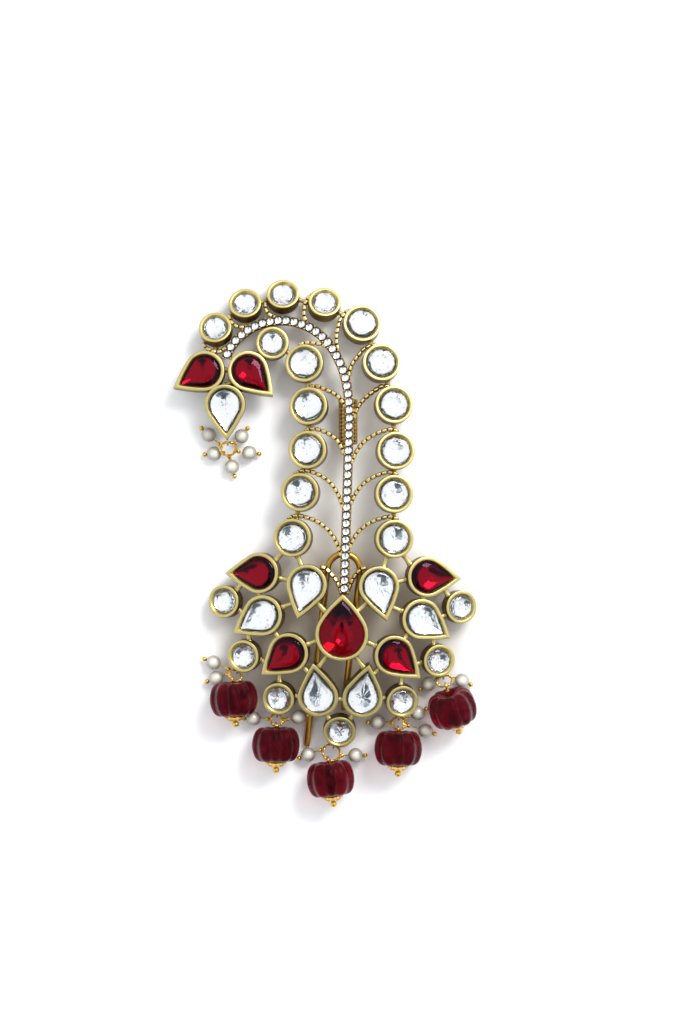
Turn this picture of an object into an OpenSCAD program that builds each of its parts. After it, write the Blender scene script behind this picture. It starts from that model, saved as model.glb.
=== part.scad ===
// Kalgi, a brooch for a turban: a plume of round stones over a fan of pear-shaped ones.
// It lies face up, with +Y along the plume and +Z up from the surface that it lies on.

/* [Settings] */
// Outer radius of the large round settings
large_r = 4.6; // [4.4:0.05:4.7]
// Outer radius of the small round settings
small_r = 3.95; // [3.8:0.05:4.05]
// Radius of a pear setting's round head
pear_r = 4.9; // [4.7:0.05:4.95]
// Length of a pear setting from the head's middle to the tip
pear_l = 8.5; // [8:0.1:8.8]
// Radius of the middle setting's round head
middle_r = 6.35; // [6:0.05:6.5]
// Length of the middle setting from the head's middle to the tip
middle_l = 9.7; // [9.2:0.1:10]
// Height of a setting from its back to the top of its rim
wall_h = 3.2; // [2.8:0.1:3.6]
// Width of the metal round each stone
rim_w = 1.15; // [1:0.05:1.3]
// How many times further than the dome the settings along the plume's top lean out
top_lean = 1.6; // [1:0.1:1.8]
// Thickness of the closed back under each stone
back_t = 0.6; // [0.4:0.1:0.8]
// Play round each stone
play = 0.12; // [0.1:0.01:0.2]

/* [Spine, wires and bars] */
// Distance from one stone of the spine to the next
spine_pitch = 1.93; // [1.9:0.01:2.1]
// Width of the spine's channel
channel_w = 2.3; // [2:0.1:2.5]
// Thickness of the spine's channel
channel_t = 1.5; // [1.2:0.1:2]
// Diameter of the wires that curl round the settings
wire_d = 1; // [0.8:0.05:1.2]
// Diameter of the bars between the settings
bar_d = 1.2; // [1:0.05:1.4]

/* [Dome] */
// Height of the settings' backs in the middle of the fan
crown_h = 7.6; // [7:0.1:9]
// How far the back drops from there to the top of the plume
tip_drop = 5; // [3:0.1:6]
// Radius of the curve down to each side of the ridge
side_r = 75; // [65:1:110]

/* [Back] */
// Outer diameter of the plume tube
tube_d = 4.8; // [4.4:0.1:5]
// Inner diameter of the plume tube
tube_bore = 3.8; // [3.4:0.1:3.9]
// Length of the plume tube
tube_l = 10.7; // [8:0.1:12]
// Diameter of the hair pin's wire
pin_d = 1.6; // [1.4:0.1:1.7]
// Radius of the hair pin's loop along the middle of the wire
pin_loop_r = 3.9; // [3.6:0.1:4.2]

/* [Hanging beads and pearls] */
// Diameter of the melon beads
bead_d = 12; // [11:0.1:12.2]
// Length of the melon beads along their bore
bead_l = 8.2; // [7.6:0.1:8.4]
// Number of lobes round a melon bead
lobes = 10; // [8:2:12]
// Depth of the grooves between the lobes, as a share of the radius
groove = 0.1; // [0.05:0.01:0.14]
// Diameter of the pearls
pearl_d = 3.6; // [3.2:0.1:3.7]
// Diameter of the wire of the jump rings and the bead pins
link_t = 0.44; // [0.4:0.02:0.5]
// Diameter of the wire of the pearl pins
pearl_wire = 0.36; // [0.3:0.02:0.4]

/* [Hidden] */
$fn = 32;
// The plan is drawn from the middle of the large red stone, and moved to the middle of the whole
shift = [4, -21.69, -0.03];
// Turn of the fan to the right, in degrees
fan_turn = -1.3;

// Spine: where it starts, and its heading there
spine_start = [0.57, 10];
spine_heading = 88.3;
// Spine: each row is [length, turn to the left in degrees]
spine_arcs = [[40.9, 0], [8.5, 11], [10.5, 26], [17, 67], [11.5, 46], [2.5, 26]];
// Spine: length, and number of its stones
spine_l = sum([for (a = spine_arcs) a[0]]);
spine_count = floor(spine_l / spine_pitch);

// Plume settings: each row is [name, x, y, radius]
plume = [
    ["right_1", 12.15, 22.7, large_r],
    ["right_2", 12.1, 33.35, large_r],
    ["right_3", 12.5, 43.6, large_r],
    ["right_4", 12.1, 54.5, large_r],
    ["right_5", 9.2, 64.45, large_r],
    ["right_6", 4.6, 73.7, large_r],
    ["top_1", -4.3, 78.3, small_r],
    ["top_2", -14.15, 80.2, small_r],
    ["top_3", -23.1, 78.05, small_r],
    ["top_4", -30.1, 72.3, small_r],
    ["left_1", -11.35, 22.95, large_r],
    ["left_2", -9.6, 33.75, large_r],
    ["left_3", -7.85, 43.8, large_r],
    ["left_4", -7.65, 54.2, large_r],
    ["left_5", -8.8, 64.5, large_r],
    ["inner", -16.7, 69.35, small_r]
];
// Crest settings at the plume's end: each row is [name, x, y, heading of the tip]
crest = [
    ["crest_left", -32.7, 62.6, 208.9],
    ["crest_right", -22.6, 62.6, -45.1],
    ["crest_low", -27.95, 54.9, -86.8]
];
// Right half of the fan's pear settings: each row is [name, x, y, heading of the tip]
fan_pears = [
    ["upper", 19.4, 14.1, -2.4],
    ["inner", 8.3, 11.6, -76],
    ["side", 18.35, 4, -31.7],
    ["lower", 12.2, -4.65, -39.5],
    ["foot", 5.1, -14.6, 81]
];
// Right half of the fan's round settings: each row is [name, x, y]
fan_rounds = [["edge", 27.5, 7], ["corner", 22.6, -5.7], ["base", 14.3, -15.3]];

// Every setting: [name, x, y, head radius, tip length or 0, heading of the tip]
settings = concat(
    [for (s = plume) [s[0], s[1], s[2], s[3], 0, 0]],
    [for (s = crest) [s[0], s[1], s[2], pear_r, pear_l, s[3]]],
    [for (side = [1, -1], s = fan_pears) fan_place(side, s, pear_r, pear_l)],
    [for (side = [1, -1], s = fan_rounds) fan_place(side, [s[0], s[1], s[2], 0], small_r, 0)],
    [["middle", 0, 0, middle_r, middle_l, 90 + fan_turn]],
    [fan_place(0, ["bottom", 0, -22.7, 0], small_r, 0)]
);

// Wires: [setting, angle where the wire ends, angle where it leaves the rim, distance along the
// spine where it joins, side of the spine that it joins on]
wires = [
    ["top_4", -142, -92, 88.2, -1],
    ["top_3", 200, 225, 81.8, -1],
    ["top_2", 188, 212, 75.1, -1],
    ["top_1", 120, 180, 67.7, -1],
    ["right_6", 124, 169, 58.3, -1],
    ["right_5", 100, 142, 51.5, -1],
    ["right_4", 98, 122, 41.6, -1],
    ["right_3", 78, 106, 31.2, -1],
    ["right_2", 74, 104, 21, -1],
    ["right_1", 74, 102, 10.6, -1],
    ["fan_inner_right", 112, 134, 0.5, -1],
    ["left_5", 108, 76, 60.3, 1],
    ["left_4", 92, 65, 44.3, 1],
    ["left_3", 104, 76, 32.8, 1],
    ["left_2", 112, 77, 20.2, 1],
    ["left_1", 110, 80, 8.8, 1],
    ["fan_inner_left", 64, 42, 0.5, 1]
];

// Bars in sight: the middle of each one, [x, y]. A bar joins the two nearest settings
bars = [
    [-15.1, 18.3], [-10.2, 17.6], [-14, 13.2], [-13.3, 6.7], [-5.6, 6.9], [-24.6, 11], [-24.3, 5.3],
    [-15.6, 0], [-7.2, -1.9], [-18.6, -6.5], [-8.9, -8.4], [-4.2, -6.5], [-14.9, -10.8], [-22.3, -1.2],
    [15.3, 17.7], [10.5, 17.3], [14.2, 12.7], [13.2, 6.1], [5.1, 6.6], [25, 10], [24, 4.1],
    [15.3, -0.5], [7.1, -2.4], [18.1, -7.1], [8.4, -8.9], [3.8, -6.5], [14.2, -11.2], [22, -1.6],
    [-10.5, -15], [-0.4, -15.6], [9.8, -15.4], [-3.6, -19.6], [2.6, -19.7], [-19.7, 9.4], [19.4, 8.9]
];
// Solder low down between the settings of the plume, under the wires, placed in the same way
solder = [
    [-12.6, 67.2], [-20.4, 66.6], [-30.4, 67.9], [-27.6, 59.4], [-27.7, 63.2], [-26.6, 75.9],
    [-18.5, 80.1], [-9.2, 80.1], [0.4, 76.6], [7, 69.3], [11, 59.7], [12.6, 49.2], [12.6, 38.6],
    [12.5, 28.1], [-8.3, 59.6], [-8, 49.2], [-9.1, 38.9], [-10.8, 28.4]
];

// Bundles: [setting, angle of the eye, x, y and z of the jump ring's far side]
bundles = [
    ["crest_low", -86.8, -27.2, 42.7, 3.4],
    ["fan_corner_left", -120, 0, 0, 0],
    ["fan_base_left", -101, 0, 0, 0],
    ["bottom", -107, 0, 0, 0],
    ["fan_base_right", -93, 0, 0, 0],
    ["fan_corner_right", -66, 0, 0, 0]
];
// Melon beads, one for each bundle after the first: [x, y, heading, dip below level, neck beyond the end]
beads = [
    [-25.9, -15.6, -86, 0, 0.4],
    [-15.8, -26.6, -90, 0, 0.4],
    [-2.7, -34.8, -83, 0, 0.4],
    [13.5, -27.5, -90, 0, 0.4],
    [26.5, -17.9, -74, 14, 1.75]
];
// Pearls: [bundle, x, y, z, angle round the jump ring]
pearls = [
    [0, -32.1, 47.8, 1.9, 300], [0, -30.8, 43.2, 1.9, 240], [0, -26.5, 40, 1.9, 180],
    [0, -22.3, 43.4, 1.9, 115], [0, -24.2, 47.4, 1.9, 60],
    [1, -31, -7.2, 1.9, 295], [1, -30.4, -11, 1.9, 250],
    [2, -21.4, -20.7, 1.9, 270], [2, -10.5, -20.2, 3.8, 90],
    [3, -8.2, -29.45, 1.9, 270], [3, 3.3, -29.6, 1.9, 90],
    [4, 8.7, -21.6, 1.9, 270], [4, 18.3, -19.4, 1.9, 60], [4, 20.2, -23.7, 1.9, 100],
    [5, 20.9, -12.4, 1.9, 318], [5, 29, -11.6, 1.9, 56]
];

FRAME_NODES = ["frame", "spine_stones", "jump_rings", "pearl_pins", "hair_pin"];

gold = [0.86, 0.74, 0.4];
clear_stone = [0.9, 0.93, 0.96];
red_stone = [0.55, 0.03, 0.1];
red_glass = [0.36, 0.05, 0.09];
pearl_white = [0.93, 0.91, 0.84];
red_names = [
    "crest_left", "crest_right", "fan_upper_left", "fan_upper_right",
    "fan_lower_left", "fan_lower_right", "middle"
];

// Plain helpers
function sum(v, i = 0) = i < len(v) ? v[i] + sum(v, i + 1) : 0;
function unit(v) = v / norm(v);
function turned(p, a) = [p.x * cos(a) - p.y * sin(a), p.x * sin(a) + p.y * cos(a)];
function named(rows, name) = [for (r = rows) if (r[0] == name) r][0];
function mix(a, b, t) = a + (b - a) * t;

// A fan setting on the right (1), on the left (-1) or in the middle (0), turned with the fan
function fan_place(side, s, r, l) =
    let (p = turned([(side == 0 ? 1 : side) * s[1], s[2]], fan_turn))
    let (name = side == 0 ? s[0] : str("fan_", s[0], side > 0 ? "_right" : "_left"))
    [name, p.x, p.y, r, l, (side < 0 ? 180 - s[3] : s[3]) + fan_turn];

// Point and heading of the spine at a distance from its start, as [x, y, heading]
function spine_at(d, i = 0, p = spine_start, h = spine_heading) =
    let (l = spine_arcs[i][0], turn = spine_arcs[i][1])
    d <= l || i == len(spine_arcs) - 1
        ? concat(arc_end(p, h, d, turn * d / l), h + turn * d / l)
        : spine_at(d - l, i + 1, arc_end(p, h, l, turn), h + turn);
// End of an arc of length l that turns by a degrees
function arc_end(p, h, l, a) =
    let (chord = abs(a) < 0.01 ? l : l * sin(a / 2) / (a * PI / 360))
    p + chord * [cos(h + a / 2), sin(h + a / 2)];

// The ridge that the dome falls away from: the spine and the middle of the fan
ridge = concat([[0, 0]], [for (i = [0:30]) let (q = spine_at(spine_l * i / 30)) [q.x, q.y]]);
function near_on(a, b, p) =
    let (t = max(0, min(1, (p - a) * (b - a) / ((b - a) * (b - a)))))
    norm(p - mix(a, b, t));
function off_ridge(p) = min([for (i = [1:len(ridge) - 1]) near_on(ridge[i - 1], ridge[i], p)]);
// Height of the settings' backs over a point of the plan
function dome(x, y) =
    crown_h - pow(off_ridge([x, y]), 2) / (2 * side_r) - tip_drop * pow(max(y, 0) / 75, 3);
// Slopes of the dome along x and y
function slope_x(x, y) = (dome(x + 1, y) - dome(x - 1, y)) / 2;
function slope_y(x, y) = (dome(x, y + 1) - dome(x, y - 1)) / 2;

// Stands its children on the dome at a setting, tilted with it. Those along the top lean out
// further, and stand a little higher so that their outer walls stay off the surface
top_names = ["top_1", "top_2", "top_3", "top_4"];
top_lift = 0.62;
module on_dome(s) {
    top = search([s[0]], top_names) != [[]];
    lean = top ? top_lean : 1;
    sx = lean * slope_x(s[1], s[2]);
    sy = lean * slope_y(s[1], s[2]);
    translate([s[1], s[2], dome(s[1], s[2]) + (top ? top_lift : 0)])
        rotate([asin(sy / norm([sx, sy, 1])), atan(-sx), 0])
            children();
}

// Puts its children at a point, with their X and Z along two directions at right angles
module aimed(o, x, z) {
    y = cross(z, x);
    multmatrix([[x.x, y.x, z.x, o.x], [x.y, y.y, z.y, o.y], [x.z, y.z, z.z, o.z], [0, 0, 0, 1]])
        children();
}

// Solid over a row of rings of points; closed joins the last ring to the first
module skin(rings, closed = false) {
    n = len(rings[0]);
    m = len(rings);
    sides = [
        for (i = [0:(closed ? m - 1 : m - 2)], j = [0:n - 1])
            let (a = i * n + j, b = i * n + (j + 1) % n)
            let (d = ((i + 1) % m) * n + j, c = ((i + 1) % m) * n + (j + 1) % n)
            each [[a, d, c], [a, c, b]]
    ];
    ends = closed ? [] : [[for (j = [0:n - 1]) j], [for (j = [n - 1:-1:0]) (m - 1) * n + j]];
    polyhedron([for (r = rings) each r], concat(sides, ends));
}

// Rings of a level section swept along a path of points
function swept(path, section) = [
    for (i = [0:len(path) - 1])
        let (d = path[min(i + 1, len(path) - 1)] - path[max(i - 1, 0)])
        let (left = unit([-d.y, d.x, 0]))
        [for (s = section) path[i] + s.x * left + [0, 0, s.y]]
];
function circle_points(r, n) = [for (i = [0:n - 1]) r * [cos(360 * i / n), sin(360 * i / n)]];

// Outline of a pear: a round head about the origin and two bowed sides that meet in a tip at +Y
head_end = 30;
function pear(r, l, side_n, head_n) =
    let (s = sin(head_end))
    let (bow = (r * r + l * l - 2 * l * r * s) / (2 * (r - l * s)))
    let (c = -(bow - r) * [cos(head_end), s])
    let (a1 = atan2(l - c.y, -c.x))
    let (side = [
        for (i = [0:side_n]) let (a = mix(head_end, a1, i / side_n)) c + bow * [cos(a), sin(a)]
    ])
    concat(
        side,
        [for (i = [side_n - 1:-1:0]) [-side[i].x, side[i].y]],
        [
            for (i = [1:head_n - 1]) let (a = mix(180 - head_end, 360 + head_end, i / head_n))
            r * [cos(a), sin(a)]
        ]
    );
// Outline of a setting or its stone, taken in by an inset
function outline(s, inset, side_n, head_n) =
    let (r = s[3] - inset)
    s[4] == 0
        ? circle_points(r, head_n)
        : [for (p = pear(r, s[4] * r / s[3], side_n, head_n)) turned(p, s[5] - 90)];

// Closed-back setting of a round stone
module round_setting(r) {
    edge = 0.25;
    slope = 0.5;
    rotate_extrude()
        polygon([
            [0, 0], [r - edge / 2, 0], [r, edge], [r, wall_h - edge], [r - edge, wall_h],
            [r - rim_w * 0.6, wall_h], [r - rim_w, wall_h - slope], [r - rim_w, back_t], [0, back_t]
        ]);
}

// Closed-back setting of a pear-shaped stone, with a step down from its rim to the stone
module pear_setting(s) {
    step = 0.4;
    difference() {
        linear_extrude(wall_h) polygon(outline(s, 0, 5, 12));
        translate([0, 0, wall_h - step]) linear_extrude(wall_h) polygon(outline(s, rim_w * 0.75, 5, 12));
        translate([0, 0, back_t]) linear_extrude(wall_h) polygon(outline(s, rim_w, 5, 12));
    }
}

// Cut stone: a pavilion, a girdle, a crown of facets and a flat table
module stone(s) {
    low = back_t + play;
    levels = [[0.5, low], [1, low + 1.4], [1, low + 1.8], [0.62, wall_h + 0.1]];
    edge = outline(s, rim_w + play, 2, s[4] == 0 ? 10 : 7);
    skin([for (v = levels) [for (p = edge) [p.x * v[0], p.y * v[0], v[1]]]]);
}

// Path of a wire: away from its setting's rim in an arc, then down to the edge of the spine
function wire_path(w) =
    let (s = named(settings, w[0]), q = spine_at(w[3]), way = w[2] > w[1] ? 1 : -1)
    let (rim = [
        for (i = [0:3]) let (a = mix(w[1], w[2], i / 3))
        [s[1], s[2]] + (s[3] + 0.25 + 0.2 * i) * [cos(a), sin(a)]
    ])
    let (aside = w[4] * (channel_w / 2 - 0.2) * [-sin(q[2]), cos(q[2])], turn = q[2] + w[4] * 18)
    let (p0 = rim[3], p3 = [q.x, q.y] + aside, reach = norm(p3 - p0) * 0.42)
    let (p1 = p0 + way * reach * [-sin(w[2]), cos(w[2])], p2 = p3 + reach * [cos(turn), sin(turn)])
    let (bend = [
        for (i = [1:5]) let (t = i / 5)
        pow(1 - t, 3) * p0 + 3 * pow(1 - t, 2) * t * p1 + 3 * (1 - t) * t * t * p2 + pow(t, 3) * p3
    ])
    [for (p = concat(rim, bend)) [p.x, p.y, dome(p.x, p.y) + wall_h * 0.45]];

// Nearest point of a setting's outline to a point of the plan, as [distance, x, y]
function nearest_on(s, p) =
    let (edge = outline(s, 0, 8, 24))
    let (gaps = [for (e = edge) norm(e + [s[1], s[2]] - p)])
    let (i = search(min(gaps), gaps)[0])
    [gaps[i], edge[i].x + s[1], edge[i].y + s[2]];

// Bar through a point of the plan to the two settings nearest to it, at a share of their height
module bar(p, d, share) {
    bite = 0.5;
    found = [for (s = settings) nearest_on(s, p)];
    gaps = [for (f = found) f[0]];
    a = found[search(min(gaps), gaps)[0]];
    rest = [for (f = found) if (f != a) f];
    b = rest[search(min([for (f = rest) f[0]]), [for (f = rest) f[0]])[0]];
    low = [a[1], a[2], dome(a[1], a[2]) + wall_h * share];
    high = [b[1], b[2], dome(b[1], b[2]) + wall_h * share];
    dir = norm(high - low) > 0.3 ? unit(high - low) : unit([settings_dir(p).x, settings_dir(p).y, 0]);
    aimed(low - bite * dir, unit(cross([0, 0, 1], dir)), dir)
        cylinder(d = d, h = norm(high - low) + 2 * bite);
}
// Direction from the nearest setting's middle to a point of the plan
function settings_dir(p) =
    let (gaps = [for (s = settings) nearest_on(s, p)[0]])
    let (s = settings[search(min(gaps), gaps)[0]])
    unit(p - [s[1], s[2]]);

// Spine's channel, swept along the ridge
channel_low = 0.5;
module channel() {
    steps = 40;
    section = [
        [channel_w / 2, channel_low], [channel_w / 2, channel_low + channel_t],
        [-channel_w / 2, channel_low + channel_t], [-channel_w / 2, channel_low]
    ];
    path = [
        for (i = [0:steps])
            let (q = spine_at(mix(-0.6, spine_l, i / steps)))
            [q.x, q.y, dome(q.x, q.y)]
    ];
    skin(swept(path, section));
}

// Tube behind the spine that takes a plume, along the slope of the dome
tube_mid = 50.8;
tube_aside = 0.3;
module plume_tube() {
    q = spine_at(tube_mid - spine_start.y);
    top = dome(q.x, q.y) + channel_low + 0.3;
    translate([q.x - tube_aside, tube_mid, top - tube_d / 2])
        rotate([atan(slope_y(q.x, q.y)) - 90, 0, 0])
            difference() {
                cylinder(d = tube_d, h = tube_l, center = true);
                cylinder(d = tube_bore, h = tube_l + 2, center = true);
            }
}

// Hair pin: middle of its loop, lean of its legs to the left, and its slope down to the surface
pin_mid = [0.5, 15.2];
pin_lean = 6.8;
pin_top = dome(pin_mid.x, pin_mid.y + pin_loop_r) + channel_low - play - pin_d / 2;
left_leg = 43.9;
right_leg = 34;
pin_tip = 0.9;
pin_slope = atan((pin_top - pin_d / 2) / (left_leg - pin_tip + pin_loop_r));
module leg(l) {
    rotate_extrude()
        polygon([[0, 0], [pin_d / 2, 0], [pin_d / 2, l - pin_tip], [pin_d / 3, l], [0, l]]);
}
module placed_pin() {
    translate([pin_mid.x + pin_loop_r * sin(pin_lean), pin_mid.y + pin_loop_r, pin_top])
        rotate([pin_slope, 0, -pin_lean])
            translate([0, -pin_loop_r, 0])
                children();
}
module hair_pin() {
    color(gold)
        placed_pin() {
            rotate_extrude(angle = 180) translate([pin_loop_r, 0]) circle(d = pin_d);
            translate([-pin_loop_r, 0, 0]) rotate([90, 0, 0]) leg(left_leg);
            translate([pin_loop_r, 0, 0]) rotate([90, 0, 0]) leg(right_leg);
        }
}
// Posts that the hair pin lies against, under the middle setting
post_down = 14;
module pin_posts() {
    for (side = [-1, 1])
        intersection() {
            placed_pin()
                translate([side * pin_loop_r, -post_down, pin_d / 2 + play])
                    cylinder(d = pin_d, h = 6);
            translate([-20, -20, 0]) cube([40, 40, crown_h + back_t / 2]);
        }
}

// Eye, jump ring and loops: radii along the middle of their wires
eye_r = 0.7;
loop_r = 0.7;
pearl_loop_r = 0.56;
// A pin's shaft is this much thinner than its loop
thinner = 0.85;
module ring(r, t) {
    rotate_extrude() translate([r, 0]) circle(d = t, $fn = 16);
}

// Middle of a bundle's eye
function eye_at(i) =
    let (s = named(settings, bundles[i][0]), a = bundles[i][1])
    let (out = max(s[3], s[4]) + eye_r * 0.7)
    let (c = [s[1], s[2]] + out * [cos(a), sin(a)])
    [c.x, c.y, dome(c.x, c.y) + wall_h * 0.4];
// Direction from a melon bead's loop to its cap
function bead_way(b) = [cos(b[2]) * cos(b[3]), sin(b[2]) * cos(b[3]), -sin(b[3])];
function bead_mid(b) = [b[0], b[1], bead_d / 2];
// Middle of the loop over a melon bead
function bead_loop(b) = bead_mid(b) - bead_way(b) * (bead_l / 2 + b[4]);
// Far side of a bundle's jump ring
function far_side(i) =
    i == 0 ? [bundles[0][2], bundles[0][3], bundles[0][4]] : bead_loop(beads[i - 1]);
// A jump ring's middle, radius, and its two directions: to the eye and to the side
function ring_mid(i) = (eye_at(i) + far_side(i)) / 2;
function ring_r(i) = norm(eye_at(i) - far_side(i)) / 2;
function ring_x(i) = unit(eye_at(i) - far_side(i));
function ring_y(i) = unit(cross([0, 0, 1], far_side(i) - eye_at(i)));
function on_ring(i, a) = ring_mid(i) + ring_r(i) * (cos(a) * ring_x(i) + sin(a) * ring_y(i));
function along_ring(i, a) = -sin(a) * ring_x(i) + cos(a) * ring_y(i);

module eye(i) {
    aimed(eye_at(i), ring_x(i), ring_y(i)) ring(eye_r, link_t);
}

module frame() {
    color(gold) {
        for (s = settings)
            on_dome(s)
                if (s[4] == 0) round_setting(s[3]);
                else pear_setting(s);
        for (w = wires) skin(swept(wire_path(w), circle_points(wire_d / 2, 5)));
        for (p = bars) bar(p, bar_d, 0.45);
        for (p = solder) bar(p, bar_d * 0.9, 0.3);
        channel();
        plume_tube();
        pin_posts();
        for (i = [0:len(bundles) - 1]) eye(i);
    }
}

module set_stone(s) {
    color(search([s[0]], red_names) != [[]] ? red_stone : clear_stone)
        on_dome(s) stone(s);
}

// Row of small stones on the spine, each with a table and eight facets
module spine_stones() {
    small_stone = spine_pitch * 0.46;
    color(clear_stone)
        for (i = [0:spine_count - 1]) {
            q = spine_at((i + 0.5) * spine_l / spine_count);
            rise = dome(q.x + cos(q[2]), q.y + sin(q[2])) - dome(q.x, q.y);
            translate([q.x, q.y, dome(q.x, q.y) + channel_low + channel_t + play])
                rotate([0, -atan(rise), q[2]])
                    cylinder(r1 = small_stone, r2 = small_stone * 0.6, h = 0.8, $fn = 8);
        }
}

// Carved melon bead: each row is a ring of it as shares of its radius and half its length
bead_rings = [[0.27, -0.8], [0.58, -1], [0.88, -0.72], [1, 0], [0.88, 0.72], [0.58, 1], [0.27, 0.8]];
bead_bore = 0.5;
module melon(b) {
    points = lobes * 3;
    lobe = [1 - groove, 1, 1];
    body = [
        for (v = bead_rings) [
            for (j = [0:points - 1])
                let (a = 90 + 360 * (j + 1.5) / points, r = v[0] * bead_d / 2 * lobe[j % 3])
                [r * cos(a), r * sin(a), v[1] * bead_l / 2]
        ]
    ];
    function bore(z) = [for (p = circle_points(bead_bore, points)) [p.x, p.y, z]];
    end = bead_rings[6][1] * bead_l / 2;
    color(red_glass)
        aimed(bead_mid(b), ring_side(b), -bead_way(b))
            skin(concat([bore(-end)], body, [bore(end)]), closed = true);
}
function ring_side(b) = unit(cross([0, 0, 1], bead_way(b)));

// Head pin of a melon bead, with its loop, its cap and its ball end
module bead_pin(i) {
    b = beads[i];
    cap_r = 2.5;
    cap_t = 1.3;
    ball_r = 0.8;
    end = bead_l / 2;
    color(gold) {
        aimed(bead_loop(b), bead_way(b), ring_side(b)) ring(loop_r, link_t);
        aimed(bead_loop(b), ring_side(b), bead_way(b))
            translate([0, 0, loop_r])
                cylinder(d = link_t * thinner, h = bead_l + b[4] - loop_r + cap_t);
        aimed(bead_mid(b), ring_side(b), bead_way(b)) {
            rotate_extrude()
                polygon([
                    [0, end], [1, end - 0.1], [cap_r, end - 0.1], [cap_r, end + 0.15],
                    [1.7, end + 0.9], [0.8, end + cap_t], [0, end + cap_t]
                ]);
            translate([0, 0, end + cap_t - 0.1 + ball_r]) sphere(ball_r);
        }
    }
}

function pearl_mid(p) = [p[1], p[2], p[3]];
// A pearl's pin leaves its loop, bends at a knee beside the pearl and runs through it
function knee(p) =
    let (from = on_ring(p[0], p[4]), d = pearl_mid(p) - from)
    let (run = 1 - (pearl_d / 2 + 0.45) / norm([d.x, d.y]))
    [from.x + d.x * run, from.y + d.y * run, p[3] + 0.5];
function loop_way(p) = unit(knee(p) - on_ring(p[0], p[4]));
function pearl_way(p) = unit(pearl_mid(p) - knee(p));
// Direction square to w that is nearest to t
function square_to(w, t) = unit(t - (t * w) * w);
function loop_turn(p) = square_to(loop_way(p), along_ring(p[0], p[4]));

module pearl(p) {
    color(pearl_white)
        aimed(pearl_mid(p), square_to(pearl_way(p), [0, 0, 1]), pearl_way(p))
            difference() {
                sphere(d = pearl_d);
                translate([0, 0, -pearl_d]) cylinder(d = pearl_wire + 2 * play, h = 2 * pearl_d);
            }
}
module pearl_pin(p) {
    ball_r = 0.6;
    shaft = pearl_wire * thinner;
    from = on_ring(p[0], p[4]);
    far = norm(pearl_mid(p) - knee(p)) + pearl_d / 2;
    color(gold) {
        aimed(from, loop_way(p), loop_turn(p)) ring(pearl_loop_r, pearl_wire);
        aimed(from, loop_turn(p), loop_way(p))
            translate([0, 0, pearl_loop_r]) cylinder(d = shaft, h = norm(knee(p) - from) - pearl_loop_r);
        translate(knee(p)) sphere(d = pearl_wire);
        aimed(knee(p), square_to(pearl_way(p), [0, 0, 1]), pearl_way(p)) {
            cylinder(d = shaft, h = far + ball_r / 2);
            translate([0, 0, far + ball_r]) sphere(ball_r);
        }
    }
}

module jump_rings() {
    color(gold)
        for (i = [0:len(bundles) - 1])
            aimed(ring_mid(i), ring_x(i), cross(ring_x(i), ring_y(i)))
                ring(ring_r(i), link_t);
}

module pearl_pins() {
    for (p = pearls) pearl_pin(p);
}

translate(shift) {
    frame();
    spine_stones();
    jump_rings();
    pearl_pins();
    hair_pin();
    for (s = settings)
        set_stone(s);
    for (i = [1:len(beads)])
        melon(beads[i - 1]);
    for (i = [1:len(beads)])
        bead_pin(i - 1);
    for (i = [1:len(bundles)])
        for (p = pearls) if (p[0] == i - 1) pearl(p);
}
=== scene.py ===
# Kalgi, a turban brooch: a curled plume of clear stones over a fan of pears, hung with
# carved beads and pearls. It lies face up: X to its right, Y along the plume, Z up.
import math
import random

import bmesh
import bpy
from mathutils import Matrix, Vector


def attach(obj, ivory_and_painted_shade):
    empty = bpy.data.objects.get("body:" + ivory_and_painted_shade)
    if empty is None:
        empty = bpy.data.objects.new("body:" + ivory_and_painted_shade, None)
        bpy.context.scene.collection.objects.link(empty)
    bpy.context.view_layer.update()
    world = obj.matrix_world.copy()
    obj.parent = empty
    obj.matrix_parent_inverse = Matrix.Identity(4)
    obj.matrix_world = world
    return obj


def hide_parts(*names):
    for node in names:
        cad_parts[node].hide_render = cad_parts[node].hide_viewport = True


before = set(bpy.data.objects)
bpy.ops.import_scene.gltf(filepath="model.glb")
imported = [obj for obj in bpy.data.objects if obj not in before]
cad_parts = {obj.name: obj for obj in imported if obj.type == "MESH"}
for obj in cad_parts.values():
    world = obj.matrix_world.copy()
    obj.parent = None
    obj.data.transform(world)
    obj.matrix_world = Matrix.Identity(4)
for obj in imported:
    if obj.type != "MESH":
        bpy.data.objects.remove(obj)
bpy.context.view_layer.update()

# The dome and the spine line.
# A kalgi is built over a form, so its settings lean outwards from one ridge: the spine
# of the plume and the middle of the fan. Plan sizes are in mm from the large red stone.
MM = 0.001
PLAN_SHIFT = Vector((4, -21.69, -0.03))
FAN_TURN = math.radians(-1.3)
SPINE_START = (0.57, 10)
SPINE_HEADING = 88.3
# Its arcs in turn: [length, degrees to the left]
SPINE_ARCS = ((40.9, 0), (8.5, 11), (10.5, 26), (17, 67), (11.5, 46), (2.5, 26))
SPINE_LENGTH = sum(length for length, turn in SPINE_ARCS)
RIDGE_STEPS = 30
CROWN_HEIGHT = 7.6
TIP_DROP = 5
SIDE_RADIUS = 75
PLUME_LENGTH = 75
LEVEL = Vector((0, 0, 1))


def towards(turn):
    """Unit vector of the plan at an angle."""
    return Vector((math.cos(turn), math.sin(turn)))


def arc_step(x, y, heading, length, turn):
    """Where an arc ends that starts at x, y and turns by some degrees to the left."""
    half = math.radians(turn / 2)
    chord = length if abs(turn) < 0.01 else length * math.sin(half) / half
    along = math.radians(heading) + half
    return x + chord * math.cos(along), y + chord * math.sin(along), heading + turn


def along_spine(distance):
    """Point of the plan and heading in degrees at a distance along the spine."""
    spot = (*SPINE_START, SPINE_HEADING)
    for number, (length, turn) in enumerate(SPINE_ARCS):
        if distance <= length or number == len(SPINE_ARCS) - 1:
            return arc_step(*spot, distance, turn * distance / length)
        spot = arc_step(*spot, length, turn)
        distance -= length


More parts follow.
